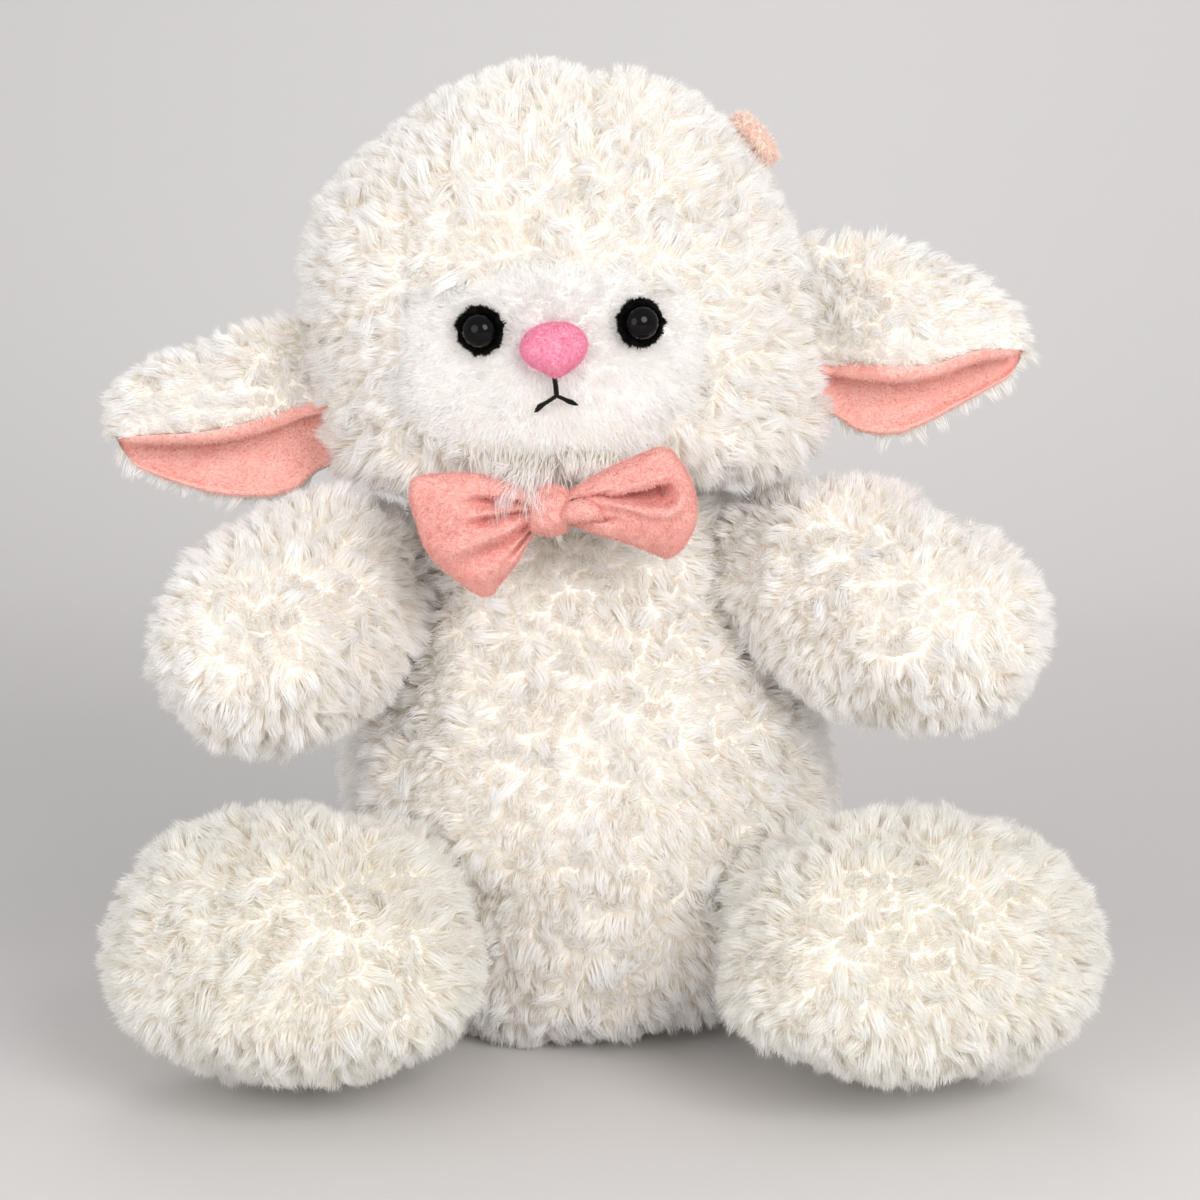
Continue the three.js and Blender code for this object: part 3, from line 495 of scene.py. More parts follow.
def blades(name, points, width, tones, facing, material, body, node, slot, rng, limit=62000):
    """Tapered flat fibres through points[fibre, station], in pieces of at most limit fibres.

    facing is the way that each fibre's cloth looks. A fibre's flat side looks about that way, so the fibres of
    a tuft catch the light together, as round fibres do, and none stands out.
    """
    count, stations = points.shape[:2]
    along = unit(points[:, -1] - points[:, 0])
    side = unit(np.cross(along, facing + rng.normal(0, FACING_SCATTER, (count, 3))))
    side[(np.cross(side, along) * facing).sum(1) < 0] *= -1
    taper = np.interp(np.linspace(0, 1, stations), TAPER_AT, TAPER_WIDTH)[None, :, None]
    half = 0.5 * width * taper * side[:, None, :]
    # Two corners at each station, one at the tip: squares between the stations and a triangle at the end
    rows = np.stack([points - half, points + half], 2)[:, :-1].reshape(count, -1, 3)
    corners = np.concatenate([rows, points[:, -1:]], 1)
    per = corners.shape[1]
    heights = np.append(np.repeat(np.linspace(0, 1, stations)[:-1], 2), 1.0)
    edges = np.append(np.tile([-1.0, 1.0], stations - 1), 0.0)
    shapes = [[2 * k, 2 * k + 1, 2 * k + 3, 2 * k + 2] for k in range(stations - 2)]
    shapes.append([per - 3, per - 2, per - 1])
    pieces = []
    for part, start in enumerate(range(0, count, limit)):
        verts, tone = corners[start : start + limit], np.repeat(tones[start : start + limit], per)
        n = len(verts)
        first = (np.arange(n) * per)[:, None]
        faces = np.concatenate([(first + np.array(shape)).ravel() for shape in shapes])
        sizes = np.concatenate([np.full(n, len(shape)) for shape in shapes])
        height = np.tile(heights, n)
        # The bake's map has a narrow strip for each tone, so fibres of one tone share their colours
        uv = np.stack([0.02 + 0.96 * tone + 0.008 * np.tile(edges, n), 0.02 + 0.96 * height], 1)
        piece = f"{name}_{part + 1}" if count > limit else name
        obj = make_mesh(piece, verts.reshape(-1, 3), faces, sizes, material, uv)
        for label, values in (("pile_height", height), ("lock_tone", tone)):
            layer = obj.data.attributes.new(label, "FLOAT", "POINT")
            layer.data.foreach_set("value", values.astype(np.float32))
        pieces.append(fit(obj, node, body, slot))
    return pieces


def comb(normals, direction):
    """A direction laid flat on the surface."""
    return direction - (direction * normals).sum(1, keepdims=True) * normals


def locks(
    points, normals, length, spacing, combed, rng, pull=0.5, curl=0.45, stray=0.07, lean=0.6, spread=0.6, dome=0.13
):
    """Fibres gathered into tufts with blunt, brushy ends: their three stations, tones and facings.

    combed is a flat vector at each point, or None. Each tuft has its own height, lean, twist and tone. pull is how
    far its fibres close up towards its middle, curl how much they turn round it, stray how far each goes its own
    way, lean how much they lie down, spread how the tufts' leans differ, and dome how their flat sides fan out.
    """
    picks = spaced(points, spacing * 0.8, rng)
    tree = KDTree(len(picks))
    for n, index in enumerate(picks):
        tree.insert(points[index], n)
    tree.balance()
    owner = np.fromiter((tree.find(p)[1] for p in points), int, len(points))
    tufts = len(picks)
    centre, up = points[picks], normals[picks]
    flat = unit(np.cross(up, rng.normal(size=(tufts, 3)))) * np.abs(rng.normal(0, spread, (tufts, 1)))
    way = (combed[picks] if combed is not None else 0) + flat
    # Tufts differ in height, each on its own and in slow swells of about 12 mm
    own = rng.normal(1, 0.1, (tufts, 1))
    tall = np.clip(own + 0.07 * waves(centre, 12, int(rng.integers(1e6)))[:, None], 0.74, 1.2)
    tone = rng.beta(2, 3, tufts)
    twist = rng.normal(0, curl, (tufts, 1))
    off = points - centre[owner]
    n = unit(0.6 * normals + 0.4 * up[owner])
    size = np.asarray(length).reshape(-1, 1) * tall[owner] * rng.uniform(0.84, 1.04, (len(points), 1))
    jitter = rng.normal(0, stray, (len(points), 3)) * size
    out = []
    for s in (0, 0.5, 1):
        height = size * (s - lean * 0.35 * s * s)
        tilt = way[owner] * size * lean * s**1.6
        inwards = off * (pull * s)
        turned = np.cross(n, off) * np.sin(twist[owner] * s) * s
        out.append(points + n * height + tilt - inwards + turned + jitter * s * s)
    tones = np.clip(tone[owner] * 0.8 + 0.2 * rng.random(len(points)), 0, 1)
    facing = unit(normals + dome * off + 0.2 * way[owner])
    return np.stack(out, 1), tones, facing


def inside_body(p, grow=0.0):
    """How deep points are in the body's form, as a share: under 1 is inside."""
    q = (p - np.array([SEAT_X, 0, 0])) @ matrix_y(LEAN)
    place = (q[:, 2] - BODY["base"]) / BODY["height"]
    table = smooth(BODY_SHARES, 200)
    share = np.interp(np.clip(place, 0, 1), table[:, 0], table[:, 1])
    r = np.hypot(q[:, 0] / BODY["half_width"], q[:, 1] / BODY["half_depth"]) / np.maximum(share + grow, 0.02)
    return np.where((place < 0) | (place > 1), 9.0, r)


def near_ball(p, centre, radius):
    return np.linalg.norm(p - centre, axis=1) < radius


def dense(x):
    return x * 1.0


# The sizes of the lumps of stuffing and of gathered pile
STUFFING_LUMPS, PILE_LUMPS = 17, 7


def lumpy(g, normals, inset, seed, big=0.8, small=0.5):
    """A grid drawn in from the tips of its pile, with the soft lumps of stuffing and of gathered pile."""
    flat = g.reshape(-1, 3)
    lumps = np.clip(big * waves(flat, STUFFING_LUMPS, seed) + small * waves(flat, PILE_LUMPS, seed + 1), -2.2, 1.7)
    return g - normals * (np.asarray(inset) - lumps.reshape(g.shape[:2]))[..., None]


# The share of the wool's fibres that curve, and the width of a fibre, drawn about ten times as thick as a real one
CURVED_SHARE = 0.35
WOOL_WIDTH, CHIN_WIDTH, FACE_WIDTH = 0.36, 0.34, 0.26


def two_weights(name, points, n, length, spacing, way, rng, width, body, node, material=WOOL, **kind):
    """Curved fibres over straight ones, which have one face each."""
    strands, tones, facing = locks(points, n, length, spacing, way, rng, **kind)
    strands[..., 2] = np.maximum(strands[..., 2], 0.25)
    wide = width * 1.0
    curved = rng.random(len(points)) < CURVED_SHARE
    straight = strands[~curved][:, [0, 2]]
    place = (material, body, node, "fleece", rng)
    over = blades(f"{name}_pile", strands[curved], wide, tones[curved], facing[curved], *place)
    under = blades(f"{name}_underpile", straight, wide * 1.15, tones[~curved], facing[~curved], *place, limit=180000)
    return over + under


# Each fleece: fibres to a square millimetre, their length, the distance between tufts and how deep the skin lies
# under the tips
BODY_PILE = dict(density=4.0, length=6.6, spacing=4.6, inset=5.2)
HEAD_PILE = dict(density=4.0, length=6.5, spacing=4.6, inset=5.7)
ARM_PILE = dict(density=4.0, length=6.8, spacing=4.8, inset=5.2)
LEG_PILE = dict(density=3.9, length=6.8, spacing=4.9, inset=5.2)
TAIL_PILE = dict(density=4.0, length=6.0, spacing=4.2, inset=4.4)


def fleece(name, node, body, g, pile, seed, keep, down, fuller=0.0, material=WOOL, **lumps):
    """A bumpy stuffed skin under long pile. fuller is how much less deep the skin lies at each point of the grid."""
    rng = np.random.default_rng(seed)
    normals = grid_normals(g)
    scalp = lumpy(g, normals, pile["inset"] - fuller, seed, **lumps)
    fit(grid_mesh(f"{name}_skin_form", scalp, BACKING), node, body, "fleece")
    points, n = scatter(scalp, unit(normals + grid_normals(scalp)), dense(pile["density"]), rng, keep=keep)
    length = np.full(len(points), pile["length"])
    two_weights(name, points, n, length, pile["spacing"], comb(n, down(points)), rng, WOOL_WIDTH, body, node, material)


# ---------------------------------------------------------------- body
def body_keep(p):
    """No pile where the limbs, the tail and the neck join, and little on the seat."""
    keep = np.ones(len(p))
    for side in (1, -1):
        keep[near_ball(p, SHOULDERS[side], 13)] = 0
        keep[near_ball(p, HIPS[side], 22)] = 0
    keep[near_ball(p, TAIL_ROOT, 7)] = 0
    keep[p[:, 2] > 150] = 0
    keep[p[:, 2] < 2.5] *= 0.25
    return keep


def falling(p):
    return np.tile([0.0, 0.0, -0.4], (len(p), 1))


torso = body_grid()
chest = 5.0 * ramp(torso[..., 2], 122, 144)
fleece("body", "body_skin", "torso", torso, BODY_PILE, 21, body_keep, falling, chest)


# ---------------------------------------------------------------- head
# How far to the side the cheeks start to fill out, and where they are full
CHEEK_SIDE = (24, 44)


def to_head(p):
    """Places in the head's own frame, above and beside the neck."""
    return (p - NECK) @ HEAD_TURN


def face_mask(p):
    """1 on the short pile of the face, 0 on the wool."""
    q = to_head(p)
    x, z = q[:, 0] + 0.5, q[:, 2] - 43
    edge = waves(q, 9, 5) * 0.06
    r = np.sqrt((x / 43) ** 2 + (np.where(z > 0, z / 29, z / 31)) ** 2) + edge
    return np.where(q[:, 1] < 0, 1 - ramp(r, 0.86, 1.02), 0)


def away_from(q, height):
    """Flat directions away from the middle of the head's front at a height."""
    return unit(np.stack([q[:, 0], q[:, 1] * 0, q[:, 2] - height], 1) @ HEAD_TURN.T)


def head_form():
    """The head's skin, with the normals that its pile grows along."""
    g = head_grid()
    # The crown leans a little and lies lower in the middle, and the cheeks fill out under the face
    g[..., 0] -= 3.4 * ramp(g[..., 2], NECK_Z + 62, NECK_Z + 98)
    normals = grid_normals(g)
    places = g.reshape(-1, 3)
    face = face_mask(places).reshape(g.shape[:2])
    q = to_head(places)
    crown = (bell(q[:, 0], 17, 26) * ramp(q[:, 2], 90, 112)).reshape(g.shape[:2])
    cheek = (ramp(-q[:, 2], -27, -9) * ramp(np.abs(q[:, 0]), *CHEEK_SIDE)).reshape(g.shape[:2])
    scalp = lumpy(g, normals, HEAD_PILE["inset"] + 3.9 * crown - 4.0 * cheek, 32)
    under_face = g - normals * 2.6
    scalp = scalp + (under_face - scalp) * face[..., None]
    fit(grid_mesh("head_skin_form", scalp, BACKING), "head_skin", "head", "fleece")
    return scalp, unit(normals + grid_normals(scalp))


def head_wool(scalp, normals, rng):
    def keep(p):
        keep = 1 - ramp(face_mask(p), 0.35, 0.75)
        keep[near_ball(p, NECK, 26)] = 0
        return keep

    points, n = scatter(scalp, normals, dense(HEAD_PILE["density"]), rng, keep=keep)
    q = to_head(points)
    way = comb(n, away_from(q, 44) * 0.25 + np.array([0, 0, -0.1]))
    # Shorter round the face and on the crown, longer on the cheeks
    length = HEAD_PILE["length"] - 2.4 * ramp(face_mask(points), 0.05, 0.6) - 1.0 * ramp(q[:, 2], 90, 112)
    length = length + 2.2 * ramp(-q[:, 2], -30, -10) * ramp(np.abs(q[:, 0]), *CHEEK_SIDE)
    two_weights("head", points, n, length, HEAD_PILE["spacing"], way, rng, WOOL_WIDTH, "head", "head_skin", spread=0.75)


# Each tuft of the chin: its root, how far its fibres' roots spread, their number, their length and their fall
CHIN_TUFTS = [
    ((-21.5, -54.0, 165.8), (4.8, 1.2, 1.9), 900, 23.0, -0.2),
    ((-4.0, -54.5, 168.6), (5.0, 1.0, 1.2), 380, 15.0, -0.16),
]


def chin(rng):
    """Long tufts that hang over the top of the bow."""
    for number, (root, spread, count, length, fall) in enumerate(CHIN_TUFTS):
        points = rng.normal(root, spread, (int(dense(count)), 3))
        over = unit(np.tile([0.0, -1.0, -0.12], (len(points), 1)))
        way = np.tile([-0.05, 0.0, fall], (len(points), 1))
        tuft = two_weights(
            f"chin_tuft_{number + 1}", points, over, np.full(len(points), length), 3.2, way, rng, CHIN_WIDTH,
            "head", "head_skin", curl=0.8, stray=0.04, spread=0.24,
        )
        for piece in tuft:
            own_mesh(piece)


def face_pile(scalp, normals, rng):
    """Short pile, combed away from the nose, that leaves the eyes and the nose clear."""
    points, n = scatter(scalp, normals, dense(9), rng, keep=lambda p: ramp(face_mask(p), 0.25, 0.6))
    q = to_head(points)
    clear = ((q[:, 0] - NOSE_X) / 8.2) ** 2 + ((q[:, 2] - NOSE_HEIGHT) / 6.6) ** 2 > 1
    for x in (LEFT_EYE_X, RIGHT_EYE_X):
        clear &= np.hypot(q[:, 0] - x, q[:, 2] - EYE_HEIGHT) > 5.4
    points, n = points[clear], n[clear]
    way = comb(n, away_from(q[clear], 48) * 0.7)
    two_weights(
        "face", points, n, np.full(len(points), 2.9), 2.0, way, rng, FACE_WIDTH, "head", "head_skin", FACE,
        pull=0.25, curl=0.2, stray=0.2, lean=0.7, spread=0.3, dome=0.05,
    )


def head():
    rng = np.random.default_rng(31)
    scalp, normals = head_form()
    head_wool(scalp, normals, rng)
    chin(rng)
    face_pile(scalp, normals, rng)


head()


# ---------------------------------------------------------------- limbs and tail
def limb_keep(p):
    """No pile inside the body, and little on the soles that touch the floor."""
    keep = np.ones(len(p))
    keep[inside_body(p) < 0.8] = 0
    keep[p[:, 2] < 1.5] *= 0.3
    return keep


def outward_and_down(centre, amount):
    def way(p):
        d = unit(p - centre) * amount
        d[:, 2] -= 0.3
        return d

    return way


for side, word in ((1, "left"), (-1, "right")):
    shoulder, hip = SHOULDERS[side], HIPS[side]
    arm = limb_grid(ARM[side], shoulder, limb_matrix(side, ARM_YAW[side], ARM_DROOP[side]))
    # The top of the arm rises to the shoulder
    along = np.linalg.norm(arm[..., :2] - shoulder[:2], axis=-1)
    arm[..., 2] += 5.0 * (1 - ramp(along, 14, 56)) * ramp(arm[..., 2] - shoulder[2], -8, 16)
    name = f"{word}_arm"
    fleece(name, f"{name}_skin", name, arm, ARM_PILE, 41 + side, limb_keep, outward_and_down(shoulder, 0.3))
    leg = limb_grid(LEG, hip, limb_matrix(side, LEG_YAW, 0))
    # The foot is flat where it rests, and its front edge lifts off the floor
    lift = 11 * ramp(-leg[..., 1], 58, 104)
    leg[..., 2] = np.maximum(leg[..., 2], 0.0)
    leg[..., 2] += lift * (1 - ramp(leg[..., 2], 0, 36))
    name = f"{word}_leg"
    way = outward_and_down(hip, 0.25)
    # The feet wear the fleece painted a touch darker, as shade
    fleece(name, f"{name}_skin", name, leg, LEG_PILE, 51 + side, limb_keep, way, material=FOOT_WOOL_PAINTED_SHADE)

tail_along = np.array([0, math.cos(TAIL_PITCH), math.sin(TAIL_PITCH)])
tail_matrix = np.stack([np.array([1.0, 0, 0]), np.cross(tail_along, [1.0, 0, 0]), tail_along], 1)
fleece(
    "tail", "tail", "tail", limb_grid(TAIL, TAIL_ROOT, tail_matrix, 48, 30), TAIL_PILE, 61,
    lambda p: 1.0 - near_ball(p, TAIL_ROOT, 6.5), outward_and_down(TAIL_ROOT, 0.5), big=0.4, small=0.4,
)


# ---------------------------------------------------------------- ears
# The fold line of an ear across its length, from the front rim over the top to the hem: back and up
FOLD = [
    [0.5, -0.14], [0.56, 0.12], [0.5, 0.44], [0.3, 0.74], [0.02, 0.86], [-0.2, 0.7],
    [-0.27, 0.34], [-0.25, -0.08], [-0.15, -0.46], [0.0, -0.76], [0.14, -0.9],
]
# An ear's rows: place, height and depth
TAPER = [
    [0, 0.86, 0.3], [0.12, 0.95, 0.55], [0.3, 1, 0.92], [0.5, 0.93, 0.95], [0.68, 0.77, 0.8],
    [0.83, 0.58, 0.6], [0.93, 0.4, 0.42], [0.98, 0.24, 0.24], [1, 0.03, 0.03],
]
EAR_HALF, EAR_LENGTH = 27.0, 53.0
# How much taller each ear is above and below its front rim, at the places ALONG its length
ALONG = [-0.16, 0.12, 0.35, 0.6, 0.82, 1.0]
LEFT_ABOVE, LEFT_BELOW = [1.45, 1.26, 1.14, 1.03, 1.0, 0.95], [0.5, 0.84, 0.84, 0.68, 0.58, 0.6]
RIGHT_ABOVE, RIGHT_BELOW = [1.0, 0.86, 0.74, 0.78, 0.98, 1.1], [0.85, 1.04, 0.96, 0.9, 0.84, 0.85]
HEAD_TABLE = smooth(HEAD_SHARES, 300)


def head_row(height):
    """The head's share of its width at a height above the neck, and how far the row is moved."""
    place = (height - HEAD["base"]) / HEAD["height"]
    return [np.interp(place, HEAD_TABLE[:, 0], HEAD_TABLE[:, k]) for k in (1, 2)]


def head_point(turn, height):
    """A point of the head's form: turn 0 is the middle of the face."""
    share, drift = head_row(height)
    x = HEAD["half_width"] * (drift + share * math.sin(turn))
    return np.array([x, -HEAD["half_depth"] * share * math.cos(turn), height])


class Ear:
    """A folded ear: sheets at depths from its fold line, with the lining rolled over the front rim."""

    def __init__(self, side, height, tilt, lift, drop, above, below):
        self.side, self.tilt, self.lift, self.above, self.below = side, tilt, lift, above, below
        self.root = head_point(side * math.pi / 2, height) + np.array([side * 2.5, 0, -drop])
        self.fold = smooth([[-f, u] for f, u in FOLD], 260) * EAR_HALF
        self.rows = smooth(TAPER, 60)

    def section(self, place, count, first):
        """The fold line of a row, whose front rim lifts near the tip, and its directions."""
        start = first + self.lift * ramp(place, 0.42, 0.8) * 0.16
        at = np.linspace(start, 1, count) * (len(self.fold) - 1)
        line = np.stack([np.interp(at, np.arange(len(self.fold)), self.fold[:, k]) for k in (0, 1)], 1)
        return line, unit(np.gradient(line, axis=0))

    def sheet(self, path, last=1.0, first_share=0.0):
        """Sweeps a cross-section to a round end. path(line, tangent) gives a row's places, back and up."""
        out = []
        for place in np.linspace(ALONG[0], last, 54):
            near_end = max(0.0, (place - last + 0.09) / 0.0905)
            round_end = math.sqrt(1 - near_end**2)
            share, deep = (np.interp(place, self.rows[:, 0], self.rows[:, k]) * round_end for k in (1, 2))
            back, up = path(*self.section(max(place, 0), 60, first_share))
            rim = FOLD[0][1] * EAR_HALF
            above, below = (np.interp(place, ALONG, taller) for taller in (self.above, self.below))
            up = rim + (up - rim) * np.where(up > rim, above, below)
            out.append(np.stack([np.full(len(back), self.side * EAR_LENGTH * place), back * deep, up * share], 1))
        g = np.stack(out) @ matrix_y(-self.side * self.tilt).T + self.root
        return g @ HEAD_TURN.T + NECK


def at_depth(depth):
    """The path of a sheet at a depth from the fold line."""

    def path(line, tangent):
        return line[:, 0] + tangent[:, 1] * depth, line[:, 1] - tangent[:, 0] * depth

    return path


# The lining: the radius of its roll over the rim, its thickness, how far it lies off the fold and how far it puffs
ROLL, LINING_THICK, LINING_GAP, LINING_PUFF = 3.4, 1.1, 2.1, 6.5
# The hem's roll and how much of it is the cloth's back
HEM, HEM_THICK = 1.2, 0.9


def lining_path(lower):
    """From outside the front rim, round its roll, and along the inside to the hem. lower is 1 for the cloth's back."""

    def path(line, tangent):
        normal = np.stack([tangent[:, 1], -tangent[:, 0]], 1)
        r = ROLL - lower * LINING_THICK
        centre = line[0] + tangent[0] * 1.7 - normal[0] * 1.3
        a = np.radians(np.linspace(-35, 172, 30))[:, None]
        rim = centre - normal[0] * r * np.cos(a) - tangent[0] * r * np.sin(a)
        puffed = LINING_PUFF * np.sin(np.linspace(0, math.pi, len(line) - 4))[:, None] ** 1.5
        inside = line[4:] + normal[4:] * (LINING_GAP + puffed - lower * LINING_THICK)
        hem_centre = line[-1] + normal[-1] * (LINING_GAP - HEM)
        b = np.radians(np.linspace(20, 160, 10))[:, None]
        h = HEM - lower * HEM_THICK
        hem = hem_centre + normal[-1] * h * np.cos(b) + tangent[-1] * h * np.sin(b)
        places = np.concatenate([rim, inside, hem])
        return places[:, 0], places[:, 1]

    return path


def thick_sheet(name, outer, inner, material):
    """A closed sheet between two grids of the same shape, and the outer grid's normals."""
    normals = grid_normals(outer, closed=False)
    if ((outer - inner) * normals).sum() < 0:
        normals = -normals
    return grid_mesh(name, np.concatenate([outer, inner[:, ::-1]], 1), material), normals


EAR_WOOL_DENSITY, EAR_WOOL_LENGTH, EAR_WOOL_SPACING, EAR_WOOL_WIDTH = 5.0, 6.6, 4.0, 0.34
NAP_WIDTH = 0.2


def one_ear(word, side, height, tilt, lift, drop, above, below, seed):
    rng = np.random.default_rng(seed)
    ear = Ear(side, height, tilt, lift, drop, above, below)
    body, node = f"{word}_ear", f"{word}_ear_fleece"
    outer, inner = (ear.sheet(at_depth(depth), first_share=0.03) for depth in (-1.8, -0.4))
    back, normals = thick_sheet(f"{word}_ear_backing", outer, inner, BACKING)
    fit(back, node, body, "fleece")
    marks = np.stack(np.meshgrid(*(np.linspace(0, 1, n) for n in outer.shape[:2]), indexing="ij"), -1)
    points, n, marks = scatter(outer, normals, dense(EAR_WOOL_DENSITY), rng, closed=False, marks=marks)
    along, across = marks.T
    rim, hem, tip = 1 - ramp(across, 0.03, 0.2), ramp(across, 0.82, 0.97), ramp(along, 0.6, 1.0)
    out, down = side * (0.45 + 0.3 * tip + 0.3 * rim), -0.3 - 0.7 * hem + 0.45 * rim
    way = comb(n, np.stack([out, np.full(len(n), -0.1), down], 1))
    length = EAR_WOOL_LENGTH - 3.0 * rim - 1.8 * np.maximum(tip, hem)
    two_weights(body, points, n, length, EAR_WOOL_SPACING, way, rng, EAR_WOOL_WIDTH, body, node, lean=0.7)
    # The coral lining, rolled over the front rim
    face, under = ear.sheet(lining_path(0), last=0.985), ear.sheet(lining_path(1), last=0.98)
    # The lining's cloth and nap are painted lighter than the bow's velour: painted light against the shade under the
    # ear
    lining, normals = thick_sheet(f"{word}_ear_lining_cloth", face, under, LINING)
    fit(lining, f"{word}_ear_lining", body, "velour")
    nap = f"{word}_ear_lining_nap"
    velour_nap(nap, face, normals, body, f"{word}_ear_lining", rng, closed=False, material=LINING_PILE)


def velour_nap(name, g, normals, body, node, rng, per_mm2=10.0, length=0.6, closed=True, material=CORAL_PILE):
    """The short even pile of velour, brushed one way."""
    points, n = scatter(g, normals, dense(per_mm2), rng, closed=closed)
    brushed = comb(n, np.tile([0.25, -0.1, -0.5], (len(points), 1))) + rng.normal(0, 0.35, (len(points), 3))
    size = length * rng.uniform(0.6, 1.25, (len(points), 1))
    strands = np.stack([points - n * 0.1, points + (n + 0.6 * brushed) * size], 1)
    tones = np.clip(0.45 + 0.3 * waves(points, 1.8, 7) + rng.normal(0, 0.15, len(points)), 0, 1)
    blades(name, strands, NAP_WIDTH, tones, n, material, body, node, "velour", rng, limit=180000)


one_ear(
    "left", 1, height=43.5, tilt=math.radians(-0.5), lift=0.4, drop=8.5, above=LEFT_ABOVE, below=LEFT_BELOW, seed=71
)
one_ear(
    "right", -1, height=32.5, tilt=math.radians(-9), lift=0.1, drop=2.5, above=RIGHT_ABOVE, below=RIGHT_BELOW, seed=72
)


# ---------------------------------------------------------------- face pieces
def head_seat(turn, height):
    """Axes on the head, sideways, up and out of the face, and the place."""
    step = 0.02
    rise = step * HEAD["height"]
    side = unit(head_point(turn + step, height) - head_point(turn - step, height))
    up = head_point(turn, height + rise) - head_point(turn, height - rise)
    out = unit(np.cross(side, up))
    matrix = HEAD_TURN @ np.stack([side, np.cross(out, side), out], 1)
    return matrix, HEAD_TURN @ head_point(turn, height) + NECK


def face_seat(x, height):
    share, drift = head_row(height)
    return head_seat(math.asin((x / HEAD["half_width"] - drift) / share), height)


# ---------------------------------------------------------------- eyes, modelled by hand
def pick(kind, test):
    """Select the edges or faces whose middle, in millimetres, passes a test."""
    bpy.ops.mesh.select_mode(type=kind)
    bpy.ops.mesh.select_all(action="DESELECT")
    bm = bmesh.from_edit_mesh(bpy.context.object.data)
    for part in {"EDGE": bm.edges, "FACE": bm.faces}[kind]:
        middle = sum((v.co for v in part.verts), Vector()) / len(part.verts) / MM
        if test(middle):
            part.select_set(True)
    bmesh.update_edit_mesh(bpy.context.object.data)


def seat_piece(name, seat, material):
    """Turn and move the shaped piece to its seat on the head, and put that place into its mesh."""
    bpy.ops.mesh.select_all(action="SELECT")
    bpy.ops.mesh.normals_make_consistent(inside=False)
    bpy.ops.object.mode_set(mode="OBJECT")
    bpy.ops.object.shade_smooth_by_angle(angle=math.radians(40))
    obj = bpy.context.object
    obj.name = obj.data.name = name
    matrix, centre = seat
    obj.matrix_world = Matrix.Translation(centre * MM) @ Matrix(matrix.tolist()).to_4x4() @ obj.matrix_basis
    bpy.ops.object.transform_apply(location=True, rotation=True, scale=True)
    obj.data.materials.clear()
    obj.data.materials.append(material)
    return obj


# The dome's radius, height and place above the face, its edge, and the shank's radius and length
DOME_RADIUS, DOME_HEIGHT, DOME_SEAT, DOME_EDGE, SHANK_RADIUS, SHANK_LENGTH = 4.5, 3.45, 2.25, 0.35, 2.2, 17.4
# The ring's radius, thickness and place above the face, the width of its cloth and the rounding of its edge
RING_RADIUS, RING_THICK, RING_SEAT, RING_BAND, RING_ROUND = 6.1, 1.1, 0.95, 3.5, 0.35


def gloss_dome(name, seat):
    """Half a ball, pressed flatter, its edge turned in to the shank that goes through the face."""
    middle = (0, 0, DOME_SEAT * MM)
    bpy.ops.object.select_all(action="DESELECT")
    bpy.ops.mesh.primitive_uv_sphere_add(segments=64, ring_count=48, radius=DOME_RADIUS * MM, location=middle)
    bpy.ops.object.mode_set(mode="EDIT")
    bpy.ops.mesh.bisect(plane_co=middle, plane_no=(0, 0, 1), clear_inner=True)
    bpy.ops.mesh.select_all(action="SELECT")
    bpy.ops.transform.resize(value=(1, 1, DOME_HEIGHT / DOME_RADIUS), center_override=middle)
    pick("EDGE", lambda p: p.z < 0.01)
    bpy.ops.mesh.extrude_edges_move(TRANSFORM_OT_translate={"value": (0, 0, -DOME_EDGE * MM)})
    bpy.ops.mesh.extrude_edges_move()
    narrow = SHANK_RADIUS / DOME_RADIUS
    bpy.ops.transform.resize(value=(narrow, narrow, 1), center_override=middle)
    bpy.ops.mesh.extrude_edges_move(TRANSFORM_OT_translate={"value": (0, 0, -SHANK_LENGTH * MM)})
    bpy.ops.mesh.edge_face_add()
    return seat_piece(name, seat, EYE)


def plush_ring(name, seat):
    """A disc with its middle inset and bridged to a hole, and its outer edges rounded."""
    bpy.ops.object.select_all(action="DESELECT")
    bpy.ops.mesh.primitive_cylinder_add(
        vertices=64, radius=RING_RADIUS * MM, depth=RING_THICK * MM, location=(0, 0, RING_SEAT * MM)
    )
    bpy.ops.object.mode_set(mode="EDIT")
    pick("FACE", lambda p: math.hypot(p.x, p.y) < 0.1)
    bpy.ops.mesh.inset(thickness=RING_BAND * MM)
    bpy.ops.mesh.bridge_edge_loops()
    pick("EDGE", lambda p: math.hypot(p.x, p.y) > RING_RADIUS - 0.2 and abs(p.z) > 0.45 * RING_THICK)
    bpy.ops.mesh.bevel(offset=RING_ROUND * MM, segments=3, affect="EDGES")
    return seat_piece(name, seat, BLACK_CLOTH)


RING_FIBRES, RING_PILE_WIDTH = 4200, 0.2


